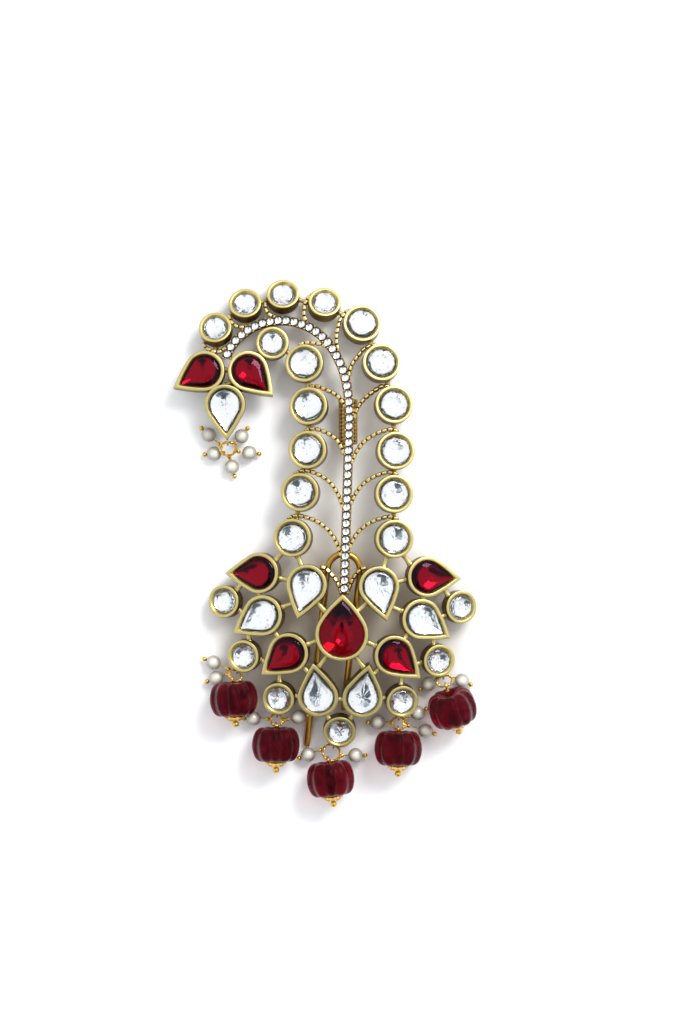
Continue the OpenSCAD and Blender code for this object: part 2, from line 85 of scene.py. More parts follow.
RIDGE = [Vector((0, 0))]
for step in range(RIDGE_STEPS + 1):
    RIDGE.append(Vector(along_spine(SPINE_LENGTH * step / RIDGE_STEPS)[:2]))


def dome(x, y):
    """Height of the settings' backs over a point of the plan."""
    spot = Vector((x, y))
    away = math.inf
    for start, end in zip(RIDGE, RIDGE[1:]):
        run = end - start
        share = max(0, min(1, (spot - start).dot(run) / run.length_squared))
        away = min(away, (spot - start - share * run).length)
    drop = TIP_DROP * (max(y, 0) / PLUME_LENGTH) ** 3
    return CROWN_HEIGHT - away * away / (2 * SIDE_RADIUS) - drop


def on_dome(x, y, lean=1.0, lift=0.0):
    """Matrix that stands a thing on the dome at a point of the plan, tilted with it."""
    rise_x = lean * (dome(x + 1, y) - dome(x - 1, y)) / 2
    rise_y = lean * (dome(x, y + 1) - dome(x, y - 1)) / 2
    pitch = math.asin(rise_y / Vector((rise_x, rise_y, 1)).length)
    tilt = Matrix.Rotation(math.atan(-rise_x), 4, "Y") @ Matrix.Rotation(pitch, 4, "X")
    return Matrix.Translation((x, y, dome(x, y) + lift)) @ tilt


def above_dome(x, y, rise):
    """Point some way over the dome."""
    return Vector((x, y, dome(x, y) + rise))


# Stone settings.
# Each stone sits in its own closed box of gilt brass with a thick hand-filed rim that
# slopes in to the stone. The 23 round boxes and 14 pears are soldered side by side.
WALL_HEIGHT = 3.2
BACK = 0.6
LARGE, SMALL = 4.6, 3.95
PEAR, PEAR_TIP = 4.9, 8.5
MIDDLE, MIDDLE_TIP = 6.35, 9.7
HEAD_END = math.radians(30)
SIDE_STEPS, HEAD_STEPS = 24, 48
TINY = 1e-9
# The four boxes at the top of the plume lean further than the dome, and stand higher
TOP_LEAN, TOP_LIFT = 1.6, 0.62

plume_places = (
    ("right_1", 12.15, 22.7, LARGE), ("right_2", 12.1, 33.35, LARGE),
    ("right_3", 12.5, 43.6, LARGE), ("right_4", 12.1, 54.5, LARGE),
    ("right_5", 9.2, 64.45, LARGE), ("right_6", 4.6, 73.7, LARGE),
    ("top_1", -4.3, 78.3, SMALL), ("top_2", -14.15, 80.2, SMALL),
    ("top_3", -23.1, 78.05, SMALL), ("top_4", -30.1, 72.3, SMALL),
    ("left_1", -11.35, 22.95, LARGE), ("left_2", -9.6, 33.75, LARGE),
    ("left_3", -7.85, 43.8, LARGE), ("left_4", -7.65, 54.2, LARGE),
    ("left_5", -8.8, 64.5, LARGE), ("inner", -16.7, 69.35, SMALL),
)
crest_places = (
    ("crest_left", -32.7, 62.6, 208.9), ("crest_right", -22.6, 62.6, -45.1),
    ("crest_low", -27.95, 54.9, -86.8),
)
fan_pear_places = (
    ("upper", 19.4, 14.1, -2.4), ("inner", 8.3, 11.6, -76), ("side", 18.35, 4, -31.7),
    ("lower", 12.2, -4.65, -39.5), ("foot", 5.1, -14.6, 81),
)
fan_round_places = (("edge", 27.5, 7), ("corner", 22.6, -5.7), ("base", 14.3, -15.3))


def even_turns(count, start=0.0):
    """Angles at even steps round a circle, from some share of a step onwards."""
    return [math.tau * (j + start) / count for j in range(count)]


class Setting:
    """A box for one stone: its middle, head radius, length to its tip and tip heading."""

    def __init__(self, name, x, y, radius, tip=0, heading=90):
        self.name, self.middle, self.radius, self.tip = name, Vector((x, y)), radius, tip
        self.heading = math.radians(heading)
        leaning = (TOP_LEAN, TOP_LIFT) if name.startswith("top") else (1, 0)
        self.stand = on_dome(x, y, *leaning)

    def edge(self, share, count, start=0.0):
        """Evenly spaced points of its outline, scaled about the head's middle."""
        if not self.tip:
            reach = self.radius * share
            return [Vector((reach * math.cos(turn), reach * math.sin(turn)))
                    for turn in even_turns(count, start)]
        line = pear_outline(self.radius * share, self.tip * share)
        turned = Matrix.Rotation(self.heading - math.pi / 2, 2)
        shares = [(j + start) / count % 1 for j in range(count)]
        return [turned @ p for p in points_at(line + line[:1], shares)]

    def inset(self, inset, count):
        """Points of its outline, taken in by some millimetres at the head."""
        return self.edge(1 - inset / self.radius, count)


def pear_outline(radius, tip):
    """Outline of a pear from its tip at +Y: two bowed sides and a round head."""
    sine = math.sin(HEAD_END)
    bow = (radius**2 + tip**2 - 2 * tip * radius * sine) / (2 * (radius - tip * sine))
    centre = towards(HEAD_END) * (radius - bow)
    last = math.atan2(tip - centre.y, -centre.x)
    side = []
    for step in range(SIDE_STEPS + 1):
        side.append(centre + bow * towards(HEAD_END + (last - HEAD_END) * step / SIDE_STEPS))
    head = []
    for step in range(1, HEAD_STEPS):
        turn = HEAD_END - (math.pi + 2 * HEAD_END) * step / HEAD_STEPS
        head.append(radius * towards(turn))
    mirrored = [Vector((-p.x, p.y)) for p in side[:-1]]
    return side[::-1] + head + mirrored


def points_at(line, shares):
    """Points of a line at some shares of its length."""
    marks = [0.0]
    for a, b in zip(line, line[1:]):
        marks.append(marks[-1] + (b - a).length)
    spots, at = [], 0
    for share in shares:
        want = min(marks[-1] * share, marks[-1] - TINY)
        at = 0 if want < marks[at] else at
        while marks[at + 1] < want:
            at += 1
        part = (want - marks[at]) / max(marks[at + 1] - marks[at], TINY)
        spots.append(line[at].lerp(line[at + 1], part))
    return spots


def in_fan(name, side, x, y, radius, tip=0, heading=90):
    """A setting on one side of the fan, mirrored and then turned with it."""
    spot = Matrix.Rotation(FAN_TURN, 2) @ Vector((side * x, y))
    turn = (180 - heading if side < 0 else heading) + math.degrees(FAN_TURN)
    return Setting(name, *spot, radius, tip, turn)


settings = [Setting(*place) for place in plume_places]
settings += [Setting(n, x, y, PEAR, PEAR_TIP, turn) for n, x, y, turn in crest_places]
for side, word in ((1, "right"), (-1, "left")):
    for n, x, y, turn in fan_pear_places:
        settings.append(in_fan(f"fan_{n}_{word}", side, x, y, PEAR, PEAR_TIP, turn))
    for n, x, y in fan_round_places:
        settings.append(in_fan(f"fan_{n}_{word}", side, x, y, SMALL))
settings.append(in_fan("middle", 1, 0, 0, MIDDLE, MIDDLE_TIP, 90))
settings.append(in_fan("bottom", 1, 0, -22.7, SMALL))
by_name = {s.name: s for s in settings}


def started():
    """An empty mesh whose points carry how dark the metal is there, from 0 to 1: oxide, and on
    some walls and edges painted shade.
    """
    shell = bmesh.new()
    shell.verts.layers.float.new("oxide_and_shade")
    return shell


def each(value, count):
    """Values for a row of things, from a row of them or from one for all."""
    return [value] * count if isinstance(value, (int, float)) else value


def loft(shell, rings, oxide_and_shade=0.0, closed=False):
    """Skin over rings of points in plan millimetres, each ring or point with its oxide and
    painted shade.
    """
    tone = shell.verts.layers.float["oxide_and_shade"]
    rows = []
    for ring, dark in zip(rings, each(oxide_and_shade, len(rings))):
        row = [shell.verts.new((p + PLAN_SHIFT) * MM) for p in ring]
        for v, amount in zip(row, each(dark, len(row))):
            v[tone] = amount
        rows.append(row)
    for low, high in zip(rows, rows[1:] + rows[:1] if closed else rows[1:]):
        for j in range(len(low)):
            k = (j + 1) % len(low)
            shell.faces.new((low[j], low[k], high[k], high[j]))
    if not closed:
        shell.faces.new(rows[0][::-1])
        shell.faces.new(rows[-1])


def put(name, data):
    """A new object in the scene."""
    thing = bpy.data.objects.new(name, data)
    bpy.context.scene.collection.objects.link(thing)
    return thing


def made(name, shell, *finishes, crease=35):
    """The finished mesh as an object, smooth except over its creases."""
    bmesh.ops.recalc_face_normals(shell, faces=shell.faces)
    mesh = bpy.data.meshes.new(name)
    shell.to_mesh(mesh)
    shell.free()
    mesh.shade_smooth()
    mesh.set_sharp_from_angle(angle=math.radians(crease))
    for finish in finishes:
        mesh.materials.append(finish)
    return put(name, mesh)


FLOAT, COLOUR, VECTOR = "NodeSocketFloat", "NodeSocketColor", "NodeSocketVector"


def new_group(name, inputs, outputs):
    """An empty shader node group with named sockets, and its two end nodes."""
    group = bpy.data.node_groups.new(name, "ShaderNodeTree")
    for label, kind, value in inputs:
        socket = group.interface.new_socket(label, in_out="INPUT", socket_type=kind)
        socket.default_value = value
    for label, kind in outputs:
        group.interface.new_socket(label, in_out="OUTPUT", socket_type=kind)
    return group, group.nodes.new("NodeGroupInput"), group.nodes.new("NodeGroupOutput")


def new_finish(name, values):
    """A new material with its node tree and its shader, whose plain inputs are set."""
    finish = bpy.data.materials.new(name)
    finish.use_nodes = True
    tree = finish.node_tree
    shader = tree.nodes["Principled BSDF"]
    feed(tree, shader, values)
    return finish, tree, shader


def feed(tree, node, values):
    """Set a node's inputs, each to a value or to what another node puts out."""
    for key, value in values.items():
        if isinstance(value, bpy.types.NodeSocket):
            tree.links.new(value, node.inputs[key])
        else:
            node.inputs[key].default_value = value


def add(tree, kind, values, **properties):
    """A new node with its properties and its inputs set."""
    node = tree.nodes.new(kind)
    for key, value in properties.items():
        setattr(node, key, value)
    feed(tree, node, values)
    return node


def noise(tree, scale, detail, **more):
    """Cloudy noise fixed to the piece, from 0 to 1."""
    place = add(tree, "ShaderNodeTexCoord", {}).outputs["Object"]
    values = {"Vector": place, "Scale": scale, "Detail": detail, **more}
    return add(tree, "ShaderNodeTexNoise", values).outputs["Fac"]


def reckoned(tree, operation, *values, clamp=False):
    """The outcome of a sum done with some values."""
    node = add(tree, "ShaderNodeMath", dict(enumerate(values)), operation=operation,
               use_clamp=clamp)
    return node.outputs[0]


def mixed(tree, share, low, high, how="MIX"):
    """One colour laid over another by some share."""
    values = {0: share, 6: low, 7: high}
    mix = add(tree, "ShaderNodeMix", values, data_type="RGBA", blend_type=how)
    return mix.outputs[2]


def filed_gilt():
    """Group for gilt metal: patchy tone, filing grain, and oxide left in the hollows, with
    painted shade on some walls and edges in the same dark colour.
    """
    group, given, out = new_group(
        "filed_gilt",
        (("Gilt", COLOUR, (0.8, 0.6, 0.24, 1)), ("Oxide_and_shade", COLOUR, (0.12, 0.07, 0.02, 1)),
         ("Roughness", FLOAT, 0.4), ("Grain", FLOAT, 0.3)),
        (("Colour", COLOUR), ("Roughness", FLOAT), ("Normal", VECTOR)),
    )
    wanted = given.outputs
    patches = noise(group, 420, 3)
    grain = noise(group, 2600, 4, Roughness=0.65)
    # The oxide layer carries real oxide and painted shade alike.
    oxide_and_shade = add(group, "ShaderNodeAttribute", {}, attribute_name="oxide_and_shade").outputs["Fac"]
    spread = reckoned(group, "MULTIPLY_ADD", patches, 0.45, -0.22)
    amount = reckoned(group, "ADD", oxide_and_shade, spread, clamp=True)
    dull = reckoned(group, "MULTIPLY_ADD", grain, 0.25, -0.1)
    bump = add(group, "ShaderNodeBump",
               {"Strength": wanted["Grain"], "Distance": 0.00012, "Height": grain})
    feed(group, out, {
        "Colour": mixed(group, amount, wanted["Gilt"], wanted["Oxide_and_shade"]),
        "Roughness": reckoned(group, "ADD", wanted["Roughness"], dull, clamp=True),
        "Normal": bump.outputs["Normal"],
    })
    return group


def gilt_finish(name, gilt, oxide_and_shade, roughness, grain):
    """Gilt metal with its own tone of gold and of oxide, which also colours the painted shade."""
    finish, tree, shader = new_finish(name, {"Metallic": 1})
    values = {"Gilt": (*gilt, 1), "Oxide_and_shade": (*oxide_and_shade, 1), "Roughness": roughness, "Grain": grain}
    surface = add(tree, "ShaderNodeGroup", values, node_tree=gilt_group).outputs
    feed(tree, shader, {"Base Color": surface["Colour"], "Roughness": surface["Roughness"],
                        "Normal": surface["Normal"]})
    return finish


gilt_group = filed_gilt()
antique_gilt = gilt_finish(
    "antique_gilt", (0.58, 0.485, 0.2), (0.12, 0.055, 0.008), roughness=0.35, grain=0.38)

# From the back up the wall, over the rim and down to the seat: [inset, height, oxide and painted
# shade]
# Much of the dark on the walls and on the rim's outer edge is painted shade, standing in for the
# shaded paper they mirror.
WALL = (
    (0.5, 0, 0.6), (0.12, 0, 0.9), (0.02, 0.12, 1), (0, 0.3, 0.95), (0.03, 1.6, 0.85),
    (0, 2.9, 0.7), (0.02, 3.06, 0.55), (0.07, 3.16, 0.2), (0.14, 3.2, 0),
)
ROUND_RIM = ((0.6, 3.2, 0.02), (0.68, 3.17, 0.04), (0.76, 3.08, 0.06), (1.04, 2.76, 0.12))
PEAR_RIM = ((0.7, 3.2, 0.02), (0.78, 3.17, 0.04), (0.84, 3.08, 0.06), (1.05, 2.78, 0.12))
SEAT = ((1.12, 2.62, 0.5), (1.12, 0.62, 1), (1.6, BACK, 1))
# Unevenness of the filing in mm, the height over which it shows, and its share downwards
HAND_FILED, FILED_FROM, FILED_DOWN = 0.035, 1, 0.6

filing = random.Random(11)
for name, pears, rim, around in (
    ("round_settings", False, ROUND_RIM, 56), ("pear_settings", True, PEAR_RIM, 84)
):
    rows = (*WALL, *rim, *SEAT)
    shell = started()
    for s in settings:
        if bool(s.tip) != pears:
            continue
        waves = [(k, filing.uniform(0, math.tau), filing.uniform(0, 1)) for k in (2, 3, 5)]
        rings = []
        for inset, height, dark in rows:
            ring = []
            for turn, p in zip(even_turns(around), s.inset(inset, around)):
                wave = sum(w * math.sin(k * turn + lag) for k, lag, w in waves)
                p = p * (1 - HAND_FILED * abs(wave) / s.radius)
                rise = HAND_FILED * wave if height > FILED_FROM else 0
                ring.append(s.stand @ Vector((p.x, p.y, height - abs(rise) * FILED_DOWN)))
            rings.append(ring)
        loft(shell, rings, [dark for inset, height, dark in rows])
    piece = made(name, shell, antique_gilt)
    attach(piece, "root")
    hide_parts("frame")

# Cut wires.
# A brass wire, nicked every 1.4 mm into a row of bright blocks, curls away from each
# setting of the plume and runs down to the spine, where it is soldered on.
WIRE = 1.0
BLOCK, BLOCK_STEPS = 1.4, 14
NICK, NICK_DEEP, NICK_DARK = 0.09, 0.45, 1.6
WIRE_RISE = WALL_HEIGHT * 0.45
WALL_GAP, CURL_AWAY, CURL_STEPS = 0.25, 0.05, 12
RUN_PULL, RUN_STEPS = 0.42, 30
# Where it meets the spine: degrees to the spine's line, way in over the channel's edge
MEETING, SOLDERED_IN = 18, 0.2
CHANNEL_WIDE = 2.3
# Setting, angles where the wire ends and leaves it, way along the spine, side of the spine
wires = (
    ("top_4", -142, -92, 88.2, -1), ("top_3", 200, 225, 81.8, -1), ("top_2", 188, 212, 75.1, -1),
    ("top_1", 120, 180, 67.7, -1), ("right_6", 124, 169, 58.3, -1),
    ("right_5", 100, 142, 51.5, -1), ("right_4", 98, 122, 41.6, -1),
    ("right_3", 78, 106, 31.2, -1), ("right_2", 74, 104, 21, -1),
    ("right_1", 74, 102, 10.6, -1), ("fan_inner_right", 122, 134, 0.5, -1),
    ("left_5", 108, 76, 60.3, 1), ("left_4", 92, 65, 44.3, 1), ("left_3", 104, 76, 32.8, 1),
    ("left_2", 112, 77, 20.2, 1), ("left_1", 110, 80, 8.8, 1), ("fan_inner_left", 56, 42, 0.5, 1),
)
wire_gilt = gilt_finish(
    "wire_gilt", (0.7, 0.54, 0.22), (0.03, 0.013, 0.004), roughness=0.24, grain=0.3)


def wire_line(name, end, leave, distance, side):
    """Middle of a wire: away from its setting in an arc, then down to the spine's edge."""
    s, way = by_name[name], 1 if leave > end else -1
    line = []
    for step in range(CURL_STEPS + 1):
        turn = math.radians(end + (leave - end) * step / CURL_STEPS)
        line.append(s.middle + (s.radius + WALL_GAP + CURL_AWAY * step) * towards(turn))
    x, y, heading = along_spine(distance)
    aside = side * (CHANNEL_WIDE / 2 - SOLDERED_IN) * towards(math.radians(heading + 90))
    first, last = line[-1], Vector((x, y)) + aside
    pull = (last - first).length * RUN_PULL
    near = first + way * pull * towards(math.radians(leave)).orthogonal()
    far = last + pull * towards(math.radians(heading + side * MEETING))
    for step in range(1, RUN_STEPS + 1):
        t = step / RUN_STEPS
        u = 1 - t
        line.append(u**3 * first + 3 * u * u * t * near + 3 * u * t * t * far + t**3 * last)
    return [above_dome(p.x, p.y, WIRE_RISE) for p in line]


def respaced(line, space):
    """The line again, with points some space apart."""
    length = sum((b - a).length for a, b in zip(line, line[1:]))
    count = max(2, round(length / space))
    return points_at(line, [j / count for j in range(count + 1)])


def rod(shell, line, widths, heights=None, sides=10, square=1.0, side=None, oxide_and_shade=0.0,
        closed=False):
    """Bar along a line, with a half width and half height there, or one for all of it."""
    heights = each(heights or widths, len(line))
    widths = each(widths, len(line))
    rings = []
    for i, p in enumerate(line):
        ahead = line[(i + 1) % len(line)] if closed else line[min(i + 1, len(line) - 1)]
        way = (ahead - line[i - 1 if closed else max(i - 1, 0)]).normalized()
        side = side or way.orthogonal()
        side = (side - way * side.dot(way)).normalized()
        up = way.cross(side)
        ring = []
        for turn in even_turns(sides, 0.5):
            c, s = math.cos(turn), math.sin(turn)
            c, s = (math.copysign(abs(v) ** square, v) for v in (c, s))
            ring.append(p + widths[i] * c * side + heights[i] * s * up)
        rings.append(ring)
    loft(shell, rings, oxide_and_shade, closed)


shell = started()
for wire in wires:
    line = respaced(wire_line(*wire), BLOCK / BLOCK_STEPS)
    pinch = []
    for i in range(len(line)):
        away = abs((i / BLOCK_STEPS + 0.5) % 1 - 0.5)
        pinch.append(1 / (1 + (away / NICK) ** 4))
    rod(shell, line, [WIRE / 2 * (0.98 - NICK_DEEP * p) for p in pinch], sides=16,
        square=0.45, side=Vector((1, 0, 0)), oxide_and_shade=[NICK_DARK * p for p in pinch])
piece = made("cut_wires", shell, wire_gilt, crease=50)
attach(piece, "root")
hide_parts("frame")

# Bars and solder.
# Short brass rods, a little over a millimetre thick, hold the fan's settings apart, and
# flow out into the solder at each wall. In the plume, solder lies low under the wires.
BAR = 1.2
BITE = 0.5
TOUCHING = 0.3
SHORT_BAR, SHORT_FLARE = 1.6, 1.15
# From wall to wall: [share of the way, thickness, oxide]
BAR_FORM = (
    (0, 1.35, 0.5), (0.12, 1.3, 0.45), (0.2, 1.08, 0.3), (0.28, 1, 0.12), (0.5, 0.97, 0.05),
    (0.72, 1, 0.12), (0.8, 1.08, 0.3), (0.88, 1.3, 0.45), (1, 1.35, 0.5),
)
bar_places = (
    (-15.1, 18.3), (-10.2, 17.6), (-14, 13.2), (-13.3, 6.7), (-5.6, 6.9), (-24.6, 11),
    (-24.3, 5.3), (-15.6, 0), (-7.2, -1.9), (-18.6, -6.5), (-8.9, -8.4), (-4.2, -6.5),
    (-14.9, -10.8), (-22.3, -1.2), (15.3, 17.7), (10.5, 17.3), (14.2, 12.7), (13.2, 6.1),
    (5.1, 6.6), (25, 10), (24, 4.1), (15.3, -0.5), (7.1, -2.4), (18.1, -7.1),
    (8.4, -8.9), (3.8, -6.5), (14.2, -11.2), (22, -1.6), (-10.5, -15), (-0.4, -15.6),
    (9.8, -15.4), (-3.6, -19.6), (2.6, -19.7), (-19.7, 9.4), (19.4, 8.9),
)
solder_places = (
    (-12.6, 67.2), (-20.4, 66.6), (-30.4, 67.9), (-27.6, 59.4), (-27.7, 63.2), (-26.6, 75.9),
    (-18.5, 80.1), (-9.2, 80.1), (0.4, 76.6), (7, 69.3), (11, 59.7), (12.6, 49.2),
    (12.6, 38.6), (12.5, 28.1), (-8.3, 59.6), (-8, 49.2), (-9.1, 38.9), (-10.8, 28.4),
)


def nearest_wall(s, spot):
    """Distance from a setting's wall to a point of the plan, and that place on the wall."""
    spots = [s.middle + p for p in s.edge(1, 96)]
    return min(((p - spot).length, p.x, p.y) for p in spots)


# Each with its thickness, its share of the wall's height and its tarnish
joints = [(spot, BAR, 0.45, 0) for spot in bar_places]
joints += [(spot, BAR * 0.9, 0.3, 0.4) for spot in solder_places]
shell = started()
for place, thick, share, tarnish in joints:
    spot = Vector(place)
    near, far = sorted(nearest_wall(s, spot) for s in settings)[:2]
    start, end = (above_dome(x, y, WALL_HEIGHT * share) for away, x, y in (near, far))
    if (end - start).length > TOUCHING:
        way = (end - start).normalized()
    else:
        owner = min(settings, key=lambda s: nearest_wall(s, spot))
        way = (spot - owner.middle).to_3d().normalized()
    start, end = start - BITE * way, end + BITE * way
    short = (end - start).length <= SHORT_BAR
    line = [start.lerp(end, t) for t, flare, dark in BAR_FORM]
    widths = [thick / 2 * (SHORT_FLARE if short else flare) for t, flare, dark in BAR_FORM]
    rod(shell, line, widths, sides=16, square=0.8, side=way.cross(LEVEL).normalized(),
        oxide_and_shade=[tarnish + dark for t, flare, dark in BAR_FORM])
piece = made("bars", shell, antique_gilt, crease=50)
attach(piece, "root")
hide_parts("frame")

# Spine.
# A gilt channel, cast in one with pairs of small beads along its edges. The beads are
# pushed over the row of little brilliants that the channel holds.
CHANNEL_LOW, CHANNEL_HIGH = 0.5, 2.0
CHANNEL_STEPS, CHANNEL_PAST = 180, 0.6
BEAD, BEAD_OUT = 0.29, 0.94
# Foot and middle of a bead: [share of its way out, height over the channel]
BEAD_FOOT, BEAD_TOP = (1, -0.25), (0.93, 0.34)
STONE_PITCH = 1.93
STONES = int(SPINE_LENGTH // STONE_PITCH)
STEP = SPINE_LENGTH / STONES
spine_gilt = gilt_finish(
    "spine_gilt", (0.62, 0.42, 0.13), (0.07, 0.03, 0.008), roughness=0.26, grain=0.3)

# Half section of the channel, from its back round its edge to its middle: [out, up, oxide and
# painted shade]
# Its sides and its top beside the stones are darkened partly by oxide and partly as painted
# shade.
CHANNEL = (
    (1.05, 0.5, 0.5), (1.15, 0.6, 0.7), (1.12, 1.2, 0.7), (1.14, 1.6, 0.5),
    (1.08, 1.82, 0.4), (0.95, 1.92, 0.6), (0.84, 1.85, 0.9), (0.3, 1.8, 1),
)


def spine_spot(distance, out, up):
    """Point beside and over the spine's line at a distance along it."""
    x, y, heading = along_spine(distance)
    return above_dome(x, y, up) + out * towards(math.radians(heading + 90)).to_3d()


def ball(shell, middle, radius, stretch=(1, 1, 1), around=12, rows=8, dark=0.0):
    """Small round bead at a point."""
    rings, tones = [], []
    for i in range(1, rows):
        polar = math.pi * i / rows
        ring = []
        for turn in even_turns(around):
            p = Vector((math.sin(polar) * math.cos(turn), math.sin(polar) * math.sin(turn),
                        -math.cos(polar)))
            ring.append(middle + radius * p * Vector(stretch))
        rings.append(ring)
        tones.append(dark * (1 - i / rows))
    loft(shell, rings, tones)


rings = []
for i in range(CHANNEL_STEPS + 1):
    distance = -CHANNEL_PAST + (SPINE_LENGTH + CHANNEL_PAST) * i / CHANNEL_STEPS
    right = [spine_spot(distance, -out, up) for out, up, dark in CHANNEL]
    left = [spine_spot(distance, out, up) for out, up, dark in CHANNEL[::-1]]
    rings.append(right + left)
shell = started()
loft(shell, rings, [[dark for out, up, dark in CHANNEL + CHANNEL[::-1]]] * len(rings))
for i in range(STONES + 1):
    for out in (-BEAD_OUT, BEAD_OUT):
        foot, top = (spine_spot(i * STEP, out * share, CHANNEL_HIGH + up)
                     for share, up in (BEAD_FOOT, BEAD_TOP))
        rod(shell, [foot, foot.lerp(top, 0.6)], [BEAD * 0.95, BEAD * 0.8], oxide_and_shade=[0.8, 0.4])
        ball(shell, top, BEAD, (1, 1, 0.9), dark=0.5)
piece = made("spine_channel", shell, spine_gilt, crease=50)
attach(piece, "root")
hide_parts("frame")

# Plume tube.
# A short tube of knurled gilt sheet behind the spine. A feather plume's quill goes in.
TUBE, TUBE_BORE, TUBE_LONG = 4.8, 3.8, 10.7
TUBE_MIDDLE = 50.8
TUBE_ASIDE, TUBE_BITE = 0.3, 0.3
TUBE_TURNS = even_turns(96)
TUBE_ROWS = 56
PLAIN_END = 0.3
KNURL, KNURL_DEEP, KNURL_DARK = 0.24, 0.6, 0.55
KNURLS, KNURL_PITCH = 8, 3.4
EDGE_DARK, BORE_DARK = 0.1, 0.8
tube_x, tube_y = along_spine(TUBE_MIDDLE - SPINE_START[1])[:2]
tube_rise = math.atan((dome(tube_x, tube_y + 1) - dome(tube_x, tube_y - 1)) / 2)
tube_high = dome(tube_x, tube_y) + CHANNEL_LOW + TUBE_BITE - TUBE / 2
tube_stand = Matrix.Translation((tube_x - TUBE_ASIDE, TUBE_MIDDLE, tube_high))
tube_stand @= Matrix.Rotation(tube_rise, 4, "X")


def tube_ring(along, reaches):
    """Points round the tube some way along it, each at its own distance out."""
    ring = []
    for a, reach in zip(TUBE_TURNS, reaches):
        spot = (reach * math.cos(a), along - TUBE_LONG / 2, reach * math.sin(a))
        ring.append(tube_stand @ Vector(spot))
    return ring


def weave(turn, along):
    """The knurl's relief, from -1 in its furrows to 1 on its points."""
    lag = along * KNURL_PITCH
    return math.sin(KNURLS * turn + lag) * math.sin(KNURLS * turn - lag)


# Its rings from end to end: [way along, rise]
outside = [(0, -0.12), (0.15, 0)]
outside += [(0.35 + 10 * k / TUBE_ROWS, 0) for k in range(TUBE_ROWS + 1)]
outside += [(TUBE_LONG - 0.15, 0), (TUBE_LONG, -0.12)]
rings, tones = [], []
for along, rise in outside:
    if PLAIN_END <= along <= TUBE_LONG - PLAIN_END:
        relief = [weave(turn, along) for turn in TUBE_TURNS]
        reaches = [TUBE / 2 + KNURL * (w - 1) * KNURL_DEEP for w in relief]
        rings.append(tube_ring(along, reaches))
        tones.append([KNURL_DARK - KNURL_DARK * w for w in relief])
    else:
        rings.append(tube_ring(along, [TUBE / 2 + rise] * len(TUBE_TURNS)))
        tones.append(EDGE_DARK)
for along in (TUBE_LONG, TUBE_LONG / 2, 0):
    rings.append(tube_ring(along, [TUBE_BORE / 2] * len(TUBE_TURNS)))
    tones.append(BORE_DARK)
shell = started()
loft(shell, rings, tones, closed=True)
piece = made("knurled_tube", shell, spine_gilt, crease=60)
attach(piece, "root")
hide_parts("frame")

# Hair pin and its posts.
# One hard brass wire, bent round into a loop with two blunt legs that slide into the
# turban's folds. It lies against two posts under the large red stone.
PIN = 1.6
PIN_LOOP, PIN_LOOP_STEPS = 3.9, 32
PIN_MIDDLE = Vector((0.5, 15.2))
PIN_LEAN = math.radians(6.8)
LEFT_LEG, RIGHT_LEG, PIN_END = 43.9, 34, 0.9
# Blunt end of a leg: [distance from its end, share of the wire's thickness]
BLUNT = ((0, 0.66), (0.12, 0.82), (0.4, 0.93), (PIN_END, 1))
POST_DOWN = 14
PLAY = 0.12
pin_gilt = gilt_finish(
    "pin_gilt", (0.5, 0.29, 0.06), (0.1, 0.05, 0.01), roughness=0.28, grain=0.25)
pin_top = dome(PIN_MIDDLE.x, PIN_MIDDLE.y + PIN_LOOP) + CHANNEL_LOW - PLAY - PIN / 2
pin_slope = math.atan((pin_top - PIN / 2) / (LEFT_LEG - PIN_END + PIN_LOOP))
pin_at = (PIN_MIDDLE.x + PIN_LOOP * math.sin(PIN_LEAN), PIN_MIDDLE.y + PIN_LOOP, pin_top)
pin_stand = (
    Matrix.Translation(pin_at) @ Matrix.Rotation(-PIN_LEAN, 4, "Z")
    @ Matrix.Rotation(pin_slope, 4, "X") @ Matrix.Translation((0, -PIN_LOOP, 0))
)
left_leg = [(LEFT_LEG - up, share) for up, share in BLUNT] + [(30, 1), (20, 1), (10, 1)]
right_leg = [(10, 1), (20, 1)] + [(RIGHT_LEG - up, share) for up, share in BLUNT[::-1]]
line = [Vector((-PIN_LOOP, -down, 0)) for down, share in left_leg]
for step in range(PIN_LOOP_STEPS + 1):
    line.append(PIN_LOOP * towards(math.pi - math.pi * step / PIN_LOOP_STEPS).to_3d())
line += [Vector((PIN_LOOP, -down, 0)) for down, share in right_leg]
shares = [share for down, share in left_leg + [(0, 1)] * (PIN_LOOP_STEPS + 1) + right_leg]
shell = started()
rod(shell, [pin_stand @ p for p in line], [PIN / 2 * share for share in shares], sides=24,
    side=LEVEL)
piece = made("bent_pin", shell, pin_gilt)
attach(piece, "root")
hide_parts("hair_pin")

shell = started()
for side in (-1, 1):
    foot = pin_stand @ Vector((side * PIN_LOOP, -POST_DOWN, PIN / 2 + PLAY))
    top = Vector((foot.x, foot.y, CROWN_HEIGHT + BACK / 2))
    rod(shell, [foot, foot.lerp(top, 0.5), foot.lerp(top, 0.85), top],
        [PIN / 2, PIN / 2, PIN * 0.56, PIN * 0.7], sides=20, oxide_and_shade=[0.2, 0.3, 0.5, 0.6])
piece = made("pin_posts", shell, antique_gilt)
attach(piece, "root")
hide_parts("frame")

# Clear stones.
# Cut glass with a silver foil behind it. The foil throws the light back up through the
# facets, so a stone looks white, with grey where it meets a dark part of the room.
STONE_IN = 1.1
GIRDLE, BELT = 2.58, 2.45
TABLE_TOP = 3.2
UNEVEN = 0.8
WELD = 1e-7


